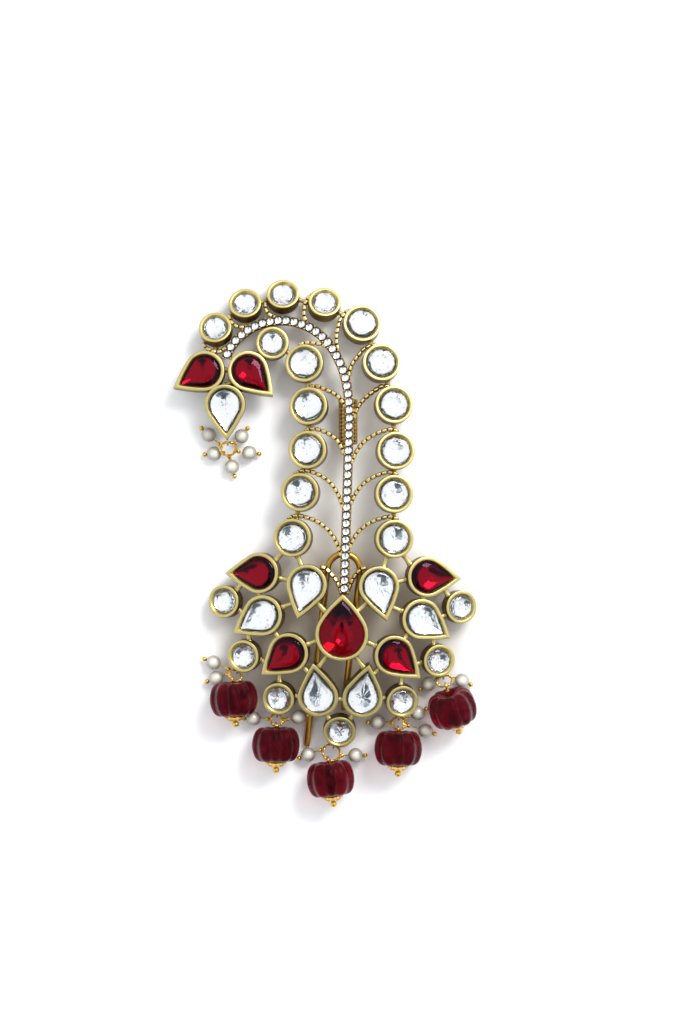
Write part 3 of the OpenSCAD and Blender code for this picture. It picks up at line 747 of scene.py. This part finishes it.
def fine_grain():
    """Group for a smooth surface whose mottling, roughness and relief share one noise."""
    group, given, out = new_group(
        "fine_grain",
        (("Scale", FLOAT, 900), ("Detail", FLOAT, 3), ("Least", FLOAT, 0.1),
         ("Spread", FLOAT, 0.1), ("Relief", FLOAT, 0.1)),
        (("Grain", FLOAT), ("Roughness", FLOAT), ("Normal", VECTOR)),
    )
    wanted = given.outputs
    grain = noise(group, wanted["Scale"], wanted["Detail"])
    bump = add(group, "ShaderNodeBump",
               {"Strength": wanted["Relief"], "Distance": 0.0001, "Height": grain})
    feed(group, out, {
        "Grain": grain,
        "Roughness": reckoned(group, "MULTIPLY_ADD", grain, wanted["Spread"], wanted["Least"]),
        "Normal": bump.outputs["Normal"],
    })
    return group


grain_group = fine_grain()


def grained(tree, shader, *, scale, detail, least, spread, relief):
    """Lay the fine grain on a shader. The grain itself comes back, from 0 to 1."""
    values = {"Scale": scale, "Detail": detail, "Least": least, "Spread": spread,
              "Relief": relief}
    surface = add(tree, "ShaderNodeGroup", values, node_tree=grain_group).outputs
    feed(tree, shader, {"Roughness": surface["Roughness"], "Normal": surface["Normal"]})
    return surface["Grain"]


def cut_glass(name, colour, roughness, scale, relief, sheen):
    """Polished glass, faintly uneven as pressed glass is."""
    finish, tree, shader = new_finish(
        name, {"Transmission Weight": 1, "IOR": 1.54, "Specular Tint": (*sheen, 1)})
    grain = grained(tree, shader, scale=scale, detail=2, least=roughness * 0.5,
                    spread=roughness, relief=relief)
    deeper = (*(c * 0.9 for c in colour), 1)
    feed(tree, shader, {"Base Color": mixed(tree, grain, (*colour, 1), deeper)})
    return finish


def foil_finish(name, colour, fleck, bare):
    """Thin metal foil behind a stone, with small coloured flecks where it creases."""
    finish, tree, shader = new_finish(name, {"Metallic": 1})
    creases = grained(tree, shader, scale=1100, detail=3, least=0.04, spread=0.12,
                      relief=0.06)
    place = add(tree, "ShaderNodeTexCoord", {}).outputs["Object"]
    cells = add(tree, "ShaderNodeTexVoronoi", {"Vector": place, "Scale": 1400})
    hue = mixed(tree, fleck, (*colour, 1), cells.outputs["Color"])
    some = reckoned(tree, "GREATER_THAN", creases, bare)
    feed(tree, shader, {"Base Color": mixed(tree, some, (*colour, 1), hue)})
    return finish


clear_glass = cut_glass("clear_cut_glass", (0.99, 0.995, 1), roughness=0.015, scale=900,
                        relief=0.03, sheen=(1, 1, 1))
silver_foil = foil_finish("silver_foil", (0.93, 0.94, 0.96), fleck=0.35, bare=0.62)


def facets(shell, rings, finish):
    """Flat facets between rings, each given as its points and its turn in half steps."""
    rows = []
    for ring, turn in rings:
        rows.append(([shell.verts.new((p + PLAN_SHIFT) * MM) for p in ring], turn))
    for (low, low_turn), (high, high_turn) in zip(rows, rows[1:]):
        count = len(low)
        for j in range(count):
            k = (j + 1) % count
            if low_turn == high_turn:
                new = [(low[j], low[k], high[k], high[j])]
            else:
                new = [(low[j], low[k], high[j]), (low[k], high[k], high[j])]
            for corners in new:
                shell.faces.new(corners).material_index = finish
    return rows[0][0], rows[-1][0]


def stone_ring(s, share, height, count, turn, wobble=0.0, luck=None):
    """Ring of a stone's points at a share of its size, with a turn in half steps."""
    size = 1 - STONE_IN / s.radius
    ring = []
    for p in s.edge(size * share, count, turn / 2):
        shift = 1 + (luck.uniform(-wobble, wobble) if wobble else 0)
        rise = UNEVEN * luck.uniform(-wobble, wobble) if wobble else 0
        ring.append(s.stand @ Vector((p.x * shift, p.y * shift, height + rise)))
    return ring


def cut_stone(s, crown, pavilion, count, luck):
    """Stone of a glass crown over a foiled pavilion, from the rows of both."""
    shell = bmesh.new()
    for finish, rows in ((0, crown), (1, pavilion)):
        rings = [
            (stone_ring(s, share, height, count, turn, wobble, luck), turn)
            for share, height, turn, wobble in rows
        ]
        shell.faces.new(facets(shell, rings, finish)[1]).material_index = finish
    bmesh.ops.remove_doubles(shell, verts=shell.verts, dist=WELD)
    return shell


ROUND_CORNERS, PEAR_CORNERS = 16, 30
# Rows of a stone from its girdle up or down: [share, height, turn, unevenness]
ROUND_CROWN = (
    (1, GIRDLE, 0, 0), (0.95, 2.84, 1, 0.005), (0.86, 3.02, 2, 0.01), (0.74, 3.13, 3, 0.01),
    (0.58, TABLE_TOP, 4, 0.01),
)
ROUND_PAVILION = (
    (1, GIRDLE, 0, 0), (1, BELT, 0, 0), (0.9, 2.42, 1, 0.04), (0.7, 2.3, 2, 0.03),
    (0.42, 2.12, 3, 0.04), (0.16, 2.04, 4, 0.04), (0.05, 2.03, 4, 0.02),
)
PEAR_CROWN = (
    (1, GIRDLE, 0, 0), (0.95, 2.82, 0, 0.003), (0.88, 3, 0, 0.005), (0.77, 3.13, 0, 0.008),
    (0.62, TABLE_TOP, 0, 0.01),
)
PEAR_PAVILION = (
    (1, GIRDLE, 0, 0), (1, BELT, 0, 0), (0.92, 2.42, 0, 0.02), (0.78, 2.34, 0, 0.03),
    (0.58, 2.21, 0, 0.03), (0.38, 2.12, 0, 0.03), (0.2, 2.06, 0, 0.03), (0.06, 2.04, 0, 0.02),
)
RED_NAMES = ("crest_left", "crest_right", "fan_upper_left", "fan_upper_right",
             "fan_lower_left", "fan_lower_right", "middle")
cutting = random.Random(5)
for s in settings:
    if s.name in RED_NAMES:
        continue
    if s.tip:
        shell = cut_stone(s, PEAR_CROWN, PEAR_PAVILION, PEAR_CORNERS, cutting)
    else:
        shell = cut_stone(s, ROUND_CROWN, ROUND_PAVILION, ROUND_CORNERS, cutting)
    piece = made("clear_" + s.name, shell, clear_glass, silver_foil, crease=4)
    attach(piece, "root")
    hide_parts("stone_" + s.name)

# Red stones.
# Smooth domes of deep red glass over a foil pressed into facets, which shows through
# them as brighter and darker panes.
RED_DOME = (1, 0.985, 0.94, 0.86, 0.74, 0.58, 0.4, 0.2)
RED_AROUND, RED_FACETS = 72, 12
RED_TOP = 3.5
# The foil's rows under the girdle: [share, depth, turn, unevenness]
RED_PAVILION = ((0.76, 0.65, 1, 0.03), (0.46, 1.3, 2, 0.06), (0.16, 1.7, 3, 0.06))
SHALLOW_FOIL = 0.32
red_glass = cut_glass("deep_red_glass", (0.36, 0.002, 0.014), roughness=0.03, scale=500,
                      relief=0.04, sheen=(0.26, 0.18, 0.28))
red_foil = foil_finish("red_foil", (0.66, 0.36, 0.38), fleck=0.1, bare=0.7)
for s in settings:
    if s.name not in RED_NAMES:
        continue
    shell = bmesh.new()
    rings = []
    for share in RED_DOME[::-1]:
        rise = math.sqrt(1 - share * share) * (RED_TOP - GIRDLE)
        rings.append((stone_ring(s, share, GIRDLE + rise, RED_AROUND, 0), 0))
    shell.faces.new(facets(shell, rings, 0)[0])
    rings = [(stone_ring(s, 1, height, RED_AROUND, 0), 0) for height in (GIRDLE, BELT)]
    belt = facets(shell, rings, 1)[1]
    part = 1 if s.name == "middle" else SHALLOW_FOIL
    rings = [(stone_ring(s, share, BELT - part * depth, RED_FACETS, turn, wobble, cutting), turn)
             for share, depth, turn, wobble in RED_PAVILION]
    upper, last = facets(shell, rings, 1)
    span = RED_AROUND // RED_FACETS
    for j, corner in enumerate(upper):
        edge = [belt[(span * j + k) % RED_AROUND] for k in range(span + 1)]
        for a, b in zip(edge, edge[1:]):
            shell.faces.new((a, b, corner)).material_index = 1
        shell.faces.new((edge[-1], upper[(j + 1) % RED_FACETS], corner)).material_index = 1
    shell.faces.new(last).material_index = 1
    bmesh.ops.remove_doubles(shell, verts=shell.verts, dist=WELD)
    piece = made("red_" + s.name, shell, red_glass, red_foil, crease=20)
    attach(piece, "root")
    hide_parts("stone_" + s.name)

# Little brilliants of the spine.
# Forty-seven round stones of 1.8 mm in a row, each with a flat table, eight kites and a
# foiled back.
LITTLE = STONE_PITCH * 0.46
KITES = 8
# Rows of the glass and of its foil: [share, height, turn]
LITTLE_CROWN = ((1, 0.44, 0), (0.86, 0.6, 1), (0.62, 0.72, 2))
LITTLE_BACK = ((1, 0.44, 0), (1, 0.4, 0), (0.62, 0.31, 1), (0.25, 0.26, 2))


def swung(x, y, turn):
    """Direction at an angle from x, in its plane with y."""
    return math.cos(turn) * x + math.sin(turn) * y


shell = bmesh.new()
for i in range(STONES):
    middle = spine_spot((i + 0.5) * STEP, 0, CHANNEL_HIGH + PLAY)
    ahead = spine_spot((i + 0.5) * STEP + 0.5, 0, CHANNEL_HIGH + PLAY)
    way = (ahead - middle).normalized()
    left = LEVEL.cross(way).normalized()
    up = way.cross(left)
    spin = cutting.uniform(0, math.tau)
    for finish, rows in ((0, LITTLE_CROWN), (1, LITTLE_BACK)):
        rings = []
        for share, height, turn in rows:
            outs = [swung(way, left, spin + a) for a in even_turns(KITES, turn / 2)]
            rings.append(([middle + LITTLE * share * out + height * up for out in outs], turn))
        shell.faces.new(facets(shell, rings, finish)[1]).material_index = finish
bmesh.ops.remove_doubles(shell, verts=shell.verts, dist=WELD)
piece = made("little_brilliants", shell, clear_glass, silver_foil, crease=4)
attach(piece, "root")
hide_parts("spine_stones")

# Eyes and jump rings.
# A round wire eye is soldered to the wall of each setting that carries a bundle, and a
# ring of two twisted wires hangs from it. The bead's pin and the pearls' pins hang on that.
LINK = 0.44
EYE = 0.7
STRAND = 0.16
TWIST_LONG, TWIST_STEPS = 1.2, 16
BEAD_WIDE, BEAD_LONG = 12, 8.2
bright_gilt = gilt_finish(
    "bright_gilt", (0.72, 0.46, 0.1), (0.1, 0.04, 0.006), roughness=0.16, grain=0.12)
# Settings that carry a bundle, and the angle of the eye on each
bundles = (("crest_low", -86.8), ("fan_corner_left", -120), ("fan_base_left", -101),
           ("bottom", -107), ("fan_base_right", -93), ("fan_corner_right", -66))
CREST_FAR = Vector((-27.2, 42.7, 3.4))


class Bead:
    """A melon bead: its middle, the way through its bore and the loop of its pin."""

    def __init__(self, x, y, heading, dip, bare):
        self.middle = Vector((x, y, BEAD_WIDE / 2))
        turn, dip = math.radians(heading), math.radians(dip)
        flat = math.cos(dip)
        self.way = Vector((math.cos(turn) * flat, math.sin(turn) * flat, -math.sin(dip)))
        self.bare = bare
        self.loop = self.middle - self.way * (BEAD_LONG / 2 + bare)


# Middle, heading and dip in degrees, length of bare pin over the bead
beads = (
    Bead(-25.9, -15.6, -86, 0, 0.4), Bead(-15.8, -26.6, -90, 0, 0.4),
    Bead(-2.7, -34.8, -83, 0, 0.4), Bead(13.5, -27.5, -90, 0, 0.4),
    Bead(26.5, -17.9, -74, 14, 1.75),
)


class Bundle:
    """Jump ring between a setting's eye and the far side that it hangs down to."""

    def __init__(self, number):
        name, turn = bundles[number]
        s = by_name[name]
        out = max(s.radius, s.tip) + EYE * 0.7
        spot = s.middle + out * towards(math.radians(turn))
        self.eye = above_dome(spot.x, spot.y, WALL_HEIGHT * 0.4)
        far = beads[number - 1].loop if number else CREST_FAR
        self.middle = (self.eye + far) / 2
        self.radius = (self.eye - far).length / 2
        self.x = (self.eye - far).normalized()
        self.y = LEVEL.cross(far - self.eye).normalized()

    def spot(self, degrees):
        """Point of the ring at an angle from its eye."""
        return self.middle + self.radius * swung(self.x, self.y, math.radians(degrees))

    def way(self, degrees):
        """Direction of the ring's wire there."""
        return swung(self.y, -self.x, math.radians(degrees))


hung = [Bundle(number) for number in range(len(bundles))]


def hoop(middle, radius, x, y, steps=36):
    """Points of a circle in the plane of two directions."""
    return [middle + radius * swung(x, y, turn) for turn in even_turns(steps)]


shell = started()
for b in hung:
    line = hoop(b.eye, EYE, b.x, b.x.cross(b.y), 28)
    rod(shell, line, LINK / 2, closed=True, oxide_and_shade=0.25)
piece = made("eyes", shell, antique_gilt)
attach(piece, "root")
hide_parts("frame")

shell = started()
for b in hung:
    up = b.x.cross(b.y)
    turns = max(6, round(math.tau * b.radius / TWIST_LONG))
    for strand in (0, math.pi):
        line = []
        for along in even_turns(TWIST_STEPS * turns):
            twist = turns * along + strand
            reach = b.radius + STRAND * math.cos(twist)
            line.append(b.middle + reach * swung(b.x, b.y, along) + STRAND * math.sin(twist) * up)
        rod(shell, line, STRAND, sides=8, closed=True)
piece = made("twisted_rings", shell, bright_gilt)
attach(piece, "root")
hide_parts("jump_rings")

# Melon beads.
# Drum-shaped beads of dark wine-red glass, carved with ten lobes and tumbled to a soft
# sheen. Each is strung on a head pin through its bore.
LOBES, LOBE_STEPS = 10, 12
GROOVE, GROOVE_SHARP, LOBE_DIP = 0.08, 1.2, 0.4
BORE = 0.5
# From one end to the other: [share of the radius, share of the half length]
MELON = ((0.27, -0.8), (0.42, -0.95), (0.58, -1), (0.75, -0.93), (0.88, -0.72), (0.96, -0.4),
         (1, 0), (0.96, 0.4), (0.88, 0.72), (0.75, 0.93), (0.58, 1), (0.42, 0.95), (0.27, 0.8))


def ramp(tree, amount, stops):
    """Colours over a range of some value: [place, colour] in turn."""
    node = add(tree, "ShaderNodeValToRGB", {"Fac": amount})
    marks = node.color_ramp.elements
    marks[0].position, marks[1].position = stops[0][0], stops[-1][0]
    for place, colour in stops[1:-1]:
        marks.new(place)
    for mark, (place, colour) in zip(marks, stops):
        mark.color = (*colour, 1)
    return node.outputs["Color"]


# Lightly frosted, with streaks in the glass and tiny pits from the carving
wine_glass, tree, shader = new_finish("carved_red_glass", {
    "Transmission Weight": 0.85, "IOR": 1.3, "Coat Weight": 0.02, "Coat Roughness": 0.2,
    "Specular Tint": (0.05, 0.04, 0.05, 1),
})
streaks = noise(tree, 260, 4, Distortion=1.2)
wine = ramp(tree, streaks, ((0.35, (0.1, 0.007, 0.017)), (0.68, (0.34, 0.018, 0.034))))
feed(tree, shader, {"Base Color": wine})
grained(tree, shader, scale=2400, detail=3, least=0.12, spread=0.15, relief=0.25)
for number, bead in enumerate(beads, 1):
    z = -bead.way
    x = LEVEL.cross(bead.way).normalized()
    y = z.cross(x)
    bore = BORE / (BEAD_WIDE / 2)
    rings = []
    for share, up in ((bore, MELON[0][1]), *MELON, (bore, MELON[-1][1])):
        ring = []
        for turn in even_turns(LOBES * LOBE_STEPS):
            lobe = 0.5 + 0.5 * math.cos(LOBES * (turn - math.pi / 2) - math.pi)
            carve = 0 if share == bore else GROOVE * lobe**GROOVE_SHARP
            reach = share * (1 - carve) * BEAD_WIDE / 2
            flat = up * (1 - LOBE_DIP * carve) * BEAD_LONG / 2
            ring.append(bead.middle + reach * swung(x, y, turn) + flat * z)
        rings.append(ring)
    shell = started()
    loft(shell, rings, closed=True)
    piece = made(f"carved_bead_{number}", shell, wine_glass, crease=70)
    smooth = piece.modifiers.new("soft_lobes", "SUBSURF")
    smooth.levels = smooth.render_levels = 1
    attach(piece, "root")
    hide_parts(f"melon_bead_{number}")

# Bead pins.
# A head pin with a loop at its top runs through each bead, a cap of eight petals, 5 mm
# wide, and a small ball, which holds them all on. The loop's tail is wrapped round it.
LOOP = 0.7
TAIL, TAIL_STEPS = 0.16, 12
SLIM = 0.85
CAP_DEEP = 1.3
PETALS = 8
END_BALL = 0.8
# A petal from the cap's middle to its tip: [distance out, height over the bead, half width]
PETAL = ((0.5, 1.2, 0.28), (0.9, 1.12, 0.42), (1.3, 0.95, 0.6), (1.7, 0.66, 0.78),
         (2.1, 0.36, 0.82), (2.4, 0.12, 0.66), (2.58, 0, 0.34))
PETAL_OXIDE = (0.5, 0.4, 0.2, 0.05, 0, 0, 0.1)


def wrap(shell, top, way, x, y, *, reach, begin, long, turns, dark=0.0):
    """A loop's tail, wound round the shaft from some distance below its top."""
    steps = round(TAIL_STEPS * turns)
    coil = []
    for j in range(steps + 1):
        out = swung(x, y, math.tau * j / TAIL_STEPS)
        coil.append(top + way * (begin + long * j / steps) + reach * out)
    rod(shell, coil, TAIL, sides=8, oxide_and_shade=dark)


for number, bead in enumerate(beads, 1):
    way, loop = bead.way, bead.loop
    across = LEVEL.cross(way).normalized()
    up = way.cross(across)
    end = bead.middle + way * BEAD_LONG / 2
    shell = started()
    rod(shell, hoop(loop, LOOP, way, up, 32), LINK / 2, closed=True, oxide_and_shade=0.2)
    shaft = LINK / 2 * SLIM
    rod(shell, [loop + way * LOOP, end + way * CAP_DEEP], shaft, sides=12)
    wrap(shell, loop, way, across, up, reach=shaft + 0.14, begin=LOOP + 0.05,
         long=bead.bare * 0.45, turns=3, dark=0.25)
    for turn in even_turns(PETALS, 0.5):
        out = swung(across, up, turn)
        line = [end + out * far + way * lift for far, lift, half in PETAL]
        rod(shell, line, [half for far, lift, half in PETAL], 0.14, sides=14,
            side=way.cross(out), oxide_and_shade=PETAL_OXIDE)
        rib = [p + way * 0.12 + out * 0.05 for p in line[1:-1]]
        rod(shell, rib, [0.13, 0.12, 0.11, 0.1, 0.07], sides=8)
        ball(shell, end + out * 2.42 + way * 0.26, 0.22, around=10, rows=6)
        seam = swung(across, up, turn + math.pi / PETALS)
        ball(shell, end + seam * 1.5 + way * 0.9, 0.27, around=10, rows=6, dark=0.4)
    rod(shell, [end + way * lift for lift in (0.5, 1.1, 1.28, 1.4)], [1.1, 0.95, 0.75, 0.4],
        sides=20, oxide_and_shade=[0.5, 0.3, 0.2, 0.4])
    ball(shell, end + way * (CAP_DEEP - 0.1 + END_BALL), END_BALL, around=24, rows=14)
    piece = made(f"flower_cap_{number}", shell, bright_gilt, crease=40)
    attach(piece, "root")
    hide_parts(f"bead_pin_{number}")

# Pearls.
# Small round pearls, each held by a ball-ended pin that goes through it, bends at a knee
# and closes in a wrapped loop on the jump ring.
PEARL = 3.6
PEARL_ROWS = 24
PEARL_WIRE = 0.36
PEARL_LOOP = 0.56
PIN_BALL = 0.6
KNEE_OUT, KNEE_UP = 0.45, 0.5
# Bundle, x, y, z and angle round the jump ring
pearls = (
    (0, -32.1, 47.8, 1.9, 300), (0, -30.8, 43.2, 1.9, 240), (0, -26.5, 40, 1.9, 180),
    (0, -22.3, 43.4, 1.9, 115), (0, -24.2, 47.4, 1.9, 60), (1, -31, -7.2, 1.9, 295),
    (1, -30.4, -11, 1.9, 250), (2, -21.4, -20.7, 1.9, 270), (2, -10.5, -20.2, 3.8, 90),
    (3, -8.2, -29.45, 1.9, 270), (3, 3.3, -29.6, 1.9, 90), (4, 8.7, -21.6, 1.9, 270),
    (4, 18.3, -19.4, 1.9, 60), (4, 20.2, -23.7, 1.9, 100), (5, 20.9, -12.4, 1.9, 318),
    (5, 29, -11.6, 1.9, 56),
)
# Ivory, painted darker and warmer grey towards its rim as shade, brightest where it faces the
# view, with a soft, deep gloss
pearl_lustre, tree, shader = new_finish("pearl_lustre", {
    "Coat Weight": 0.9, "Coat Roughness": 0.08, "IOR": 1.6, "Specular IOR Level": 0.6})
facing = add(tree, "ShaderNodeLayerWeight", {"Blend": 0.5}).outputs["Facing"]
ivory_and_painted_shade = ramp(tree, facing, (
    (0, (0.78, 0.77, 0.7)), (0.3, (0.4, 0.38, 0.32)), (1, (0.12, 0.095, 0.05))))
bands = grained(tree, shader, scale=700, detail=3, least=0.16, spread=0.14, relief=0.06)
cloud = ramp(tree, bands, ((0.3, (0.94, 0.9, 0.86)), (0.7, (1, 1, 1))))
feed(tree, shader, {"Base Color": mixed(tree, 1, ivory_and_painted_shade, cloud, "MULTIPLY")})

growth = random.Random(3)
pins = started()
strings = [started() for bundle in bundles]
for bundle, x, y, z, turn in pearls:
    b = hung[bundle]
    middle = Vector((x, y, z))
    start = b.spot(turn)
    run = (middle - start).to_2d()
    share = 1 - (PEARL / 2 + KNEE_OUT) / run.length
    knee = Vector((start.x + run.x * share, start.y + run.y * share, z + KNEE_UP))
    out, way = (knee - start).normalized(), (middle - knee).normalized()
    along = b.way(turn)
    along = (along - along.dot(out) * out).normalized()
    rod(pins, hoop(start, PEARL_LOOP, out, along, 28), PEARL_WIRE / 2, sides=8, closed=True)
    shaft = PEARL_WIRE / 2 * SLIM
    wrap(pins, start, out, along, out.cross(along), reach=shaft + 0.15,
         begin=PEARL_LOOP + 0.12, long=1, turns=3.5)
    far = middle + way * (PEARL / 2 + PIN_BALL)
    bend = [start + out * PEARL_LOOP, knee - out * 0.3, knee - out * 0.1 + way * 0.05,
            knee + way * 0.3, far]
    rod(pins, bend, shaft)
    ball(pins, far, PIN_BALL, around=18, rows=12)
    side = way.orthogonal().normalized()
    up = way.cross(side)
    oval = growth.uniform(0.96, 1)
    lean = math.asin((PEARL_WIRE / 2 + PLAY) / (PEARL / 2))
    rings = []
    for i in range(PEARL_ROWS + 1):
        polar = lean + (math.pi - 2 * lean) * i / PEARL_ROWS
        reach = PEARL / 2 * math.sin(polar) * (oval if 0 < i < PEARL_ROWS else 1)
        rings.append(hoop(middle - way * PEARL / 2 * math.cos(polar), reach, side, up))
    loft(strings[bundle], rings, closed=True)
piece = made("wrapped_pins", pins, bright_gilt)
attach(piece, "root")
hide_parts("pearl_pins")
for number, string in enumerate(strings, 1):
    piece = made(f"pearl_string_{number}", string, pearl_lustre)
    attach(piece, "root")
    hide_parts(f"pearls_{number}")

# Table, light and camera.
# The brooch lies on a white sweep under a soft light from the upper right, and the
# camera looks almost straight down at it.
SWEEP = 1.5
PAPER, PAPER_SHADE = (0.98, 0.98, 0.985, 1), (0.6, 0.53, 0.43, 1)
# Where the brooch keeps the light off the paper, in metres: [middle, half size, strength]
SHADED = (((0.004, 0.022), (0.015, 0.042), 0.25), ((-0.016, 0.05), (0.016, 0.016), 0.25),
          ((0.004, -0.022), (0.03, 0.024), 1))


def soft_ovals(tree, position, ovals, *, inner, outer):
    """Soft ovals laid over each other in turn: [middle, half size, strength]."""
    below = 0
    for (x, y), (wide, high), strength in ovals:
        frame_of = {"Vector": position, "Location": (x, y, 0), "Scale": (wide, high, 1000)}
        oval = add(tree, "ShaderNodeMapping", frame_of, vector_type="TEXTURE")
        reach = add(tree, "ShaderNodeVectorMath", {0: oval.outputs["Vector"]},
                    operation="LENGTH")
        fall = {"Value": reach.outputs["Value"], "From Min": outer, "From Max": inner}
        cover = add(tree, "ShaderNodeMapRange", fall, interpolation_type="SMOOTHSTEP")
        laid = {0: cover.outputs["Result"], 2: below, 3: strength}
        below = add(tree, "ShaderNodeMix", laid).outputs[0]
    return below


white_sweep, tree, shader = new_finish("white_sweep", {"Roughness": 0.8})
place = add(tree, "ShaderNodeTexCoord", {}).outputs["Object"]
shade = soft_ovals(tree, place, SHADED, inner=0.5, outer=1.3)
fibres = add(tree, "ShaderNodeGroup", {"Scale": 900, "Detail": 4, "Relief": 0.1},
             node_tree=grain_group)
feed(tree, shader, {"Base Color": mixed(tree, shade, PAPER, PAPER_SHADE),
                    "Normal": fibres.outputs["Normal"]})
shell = bmesh.new()
bmesh.ops.create_grid(shell, x_segments=1, y_segments=1, size=SWEEP)
mesh = bpy.data.meshes.new("sweep")
shell.to_mesh(mesh)
shell.free()
mesh.materials.append(white_sweep)
sweep = put("sweep", mesh)

# The room is bright all round but for some dark places beyond the fan's end, which the
# foil mirrors in the upper ends of the stones.
# On a ceiling one metre up: [middle, half size, strength]. The last one is bright again.
DARK = (((-0.02, -0.28), (0.15, 0.34), 0.95), ((0.03, -0.78), (0.44, 0.32), 1),
        ((-0.02, -0.16), (0.075, 0.13), 0))
LOWEST_LOOK = 0.15
ROOM_LIGHT, DARK_LIGHT = 1.15, 0.07
ROOM_TINT, DARK_TINT = (0.96, 0.98, 1, 1), (0.5, 0.8, 1, 1)
studio = bpy.data.worlds.new("studio")
studio.use_nodes = True
bpy.context.scene.world = studio
air = studio.node_tree
look = add(air, "ShaderNodeTexCoord", {}).outputs["Generated"]
axes = add(air, "ShaderNodeSeparateXYZ", {0: look}).outputs
height = reckoned(air, "MAXIMUM", axes["Z"], LOWEST_LOOK)
ceiling = add(air, "ShaderNodeCombineXYZ", {})
for axis in "XY":
    feed(air, ceiling, {axis: reckoned(air, "DIVIDE", axes[axis], height)})
dark = soft_ovals(air, ceiling.outputs["Vector"], DARK, inner=0.85, outer=1.1)
lit = add(air, "ShaderNodeMapRange", {"Value": dark, "To Min": ROOM_LIGHT, "To Max": DARK_LIGHT})
front = add(air, "ShaderNodeMapRange", {
    "Value": axes["Y"], "From Min": -0.92, "From Max": -0.6, "To Min": 0.15, "To Max": 1})
feed(air, air.nodes["Background"], {
    "Color": mixed(air, dark, ROOM_TINT, DARK_TINT),
    "Strength": reckoned(air, "MULTIPLY", lit.outputs["Result"], front.outputs["Result"]),
})

KEY_AT = Vector((0.3, 0.4, 0.5))
light = bpy.data.lights.new("key", "AREA")
light.shape, light.size, light.energy = "SQUARE", 0.3, 4
lamp = put("key", light)
lamp.location = KEY_AT
lamp.rotation_euler = (-KEY_AT).to_track_quat("-Z", "Y").to_euler()

IMAGE_HIGH = 1024
FOCAL_PIXELS = 2520
EYE_AT = Vector((4.74, 10.33, 609.9)) * MM
LOOK_AT = Vector((3.93, 7.48, 9.9)) * MM
lens = bpy.data.cameras.new("overhead")
lens.sensor_width = 36
lens.lens = lens.sensor_width * FOCAL_PIXELS / IMAGE_HIGH
lens.clip_start, lens.clip_end = 0.01, 10
camera = put("overhead", lens)
back = (EYE_AT - LOOK_AT).normalized()
across = Vector((0, 1, 0)).cross(back).normalized()
turn = Matrix((across, back.cross(across), back)).transposed()
camera.matrix_world = Matrix.Translation(EYE_AT) @ turn.to_4x4()
bpy.context.scene.camera = camera
bpy.context.scene.view_settings.view_transform = "Standard"
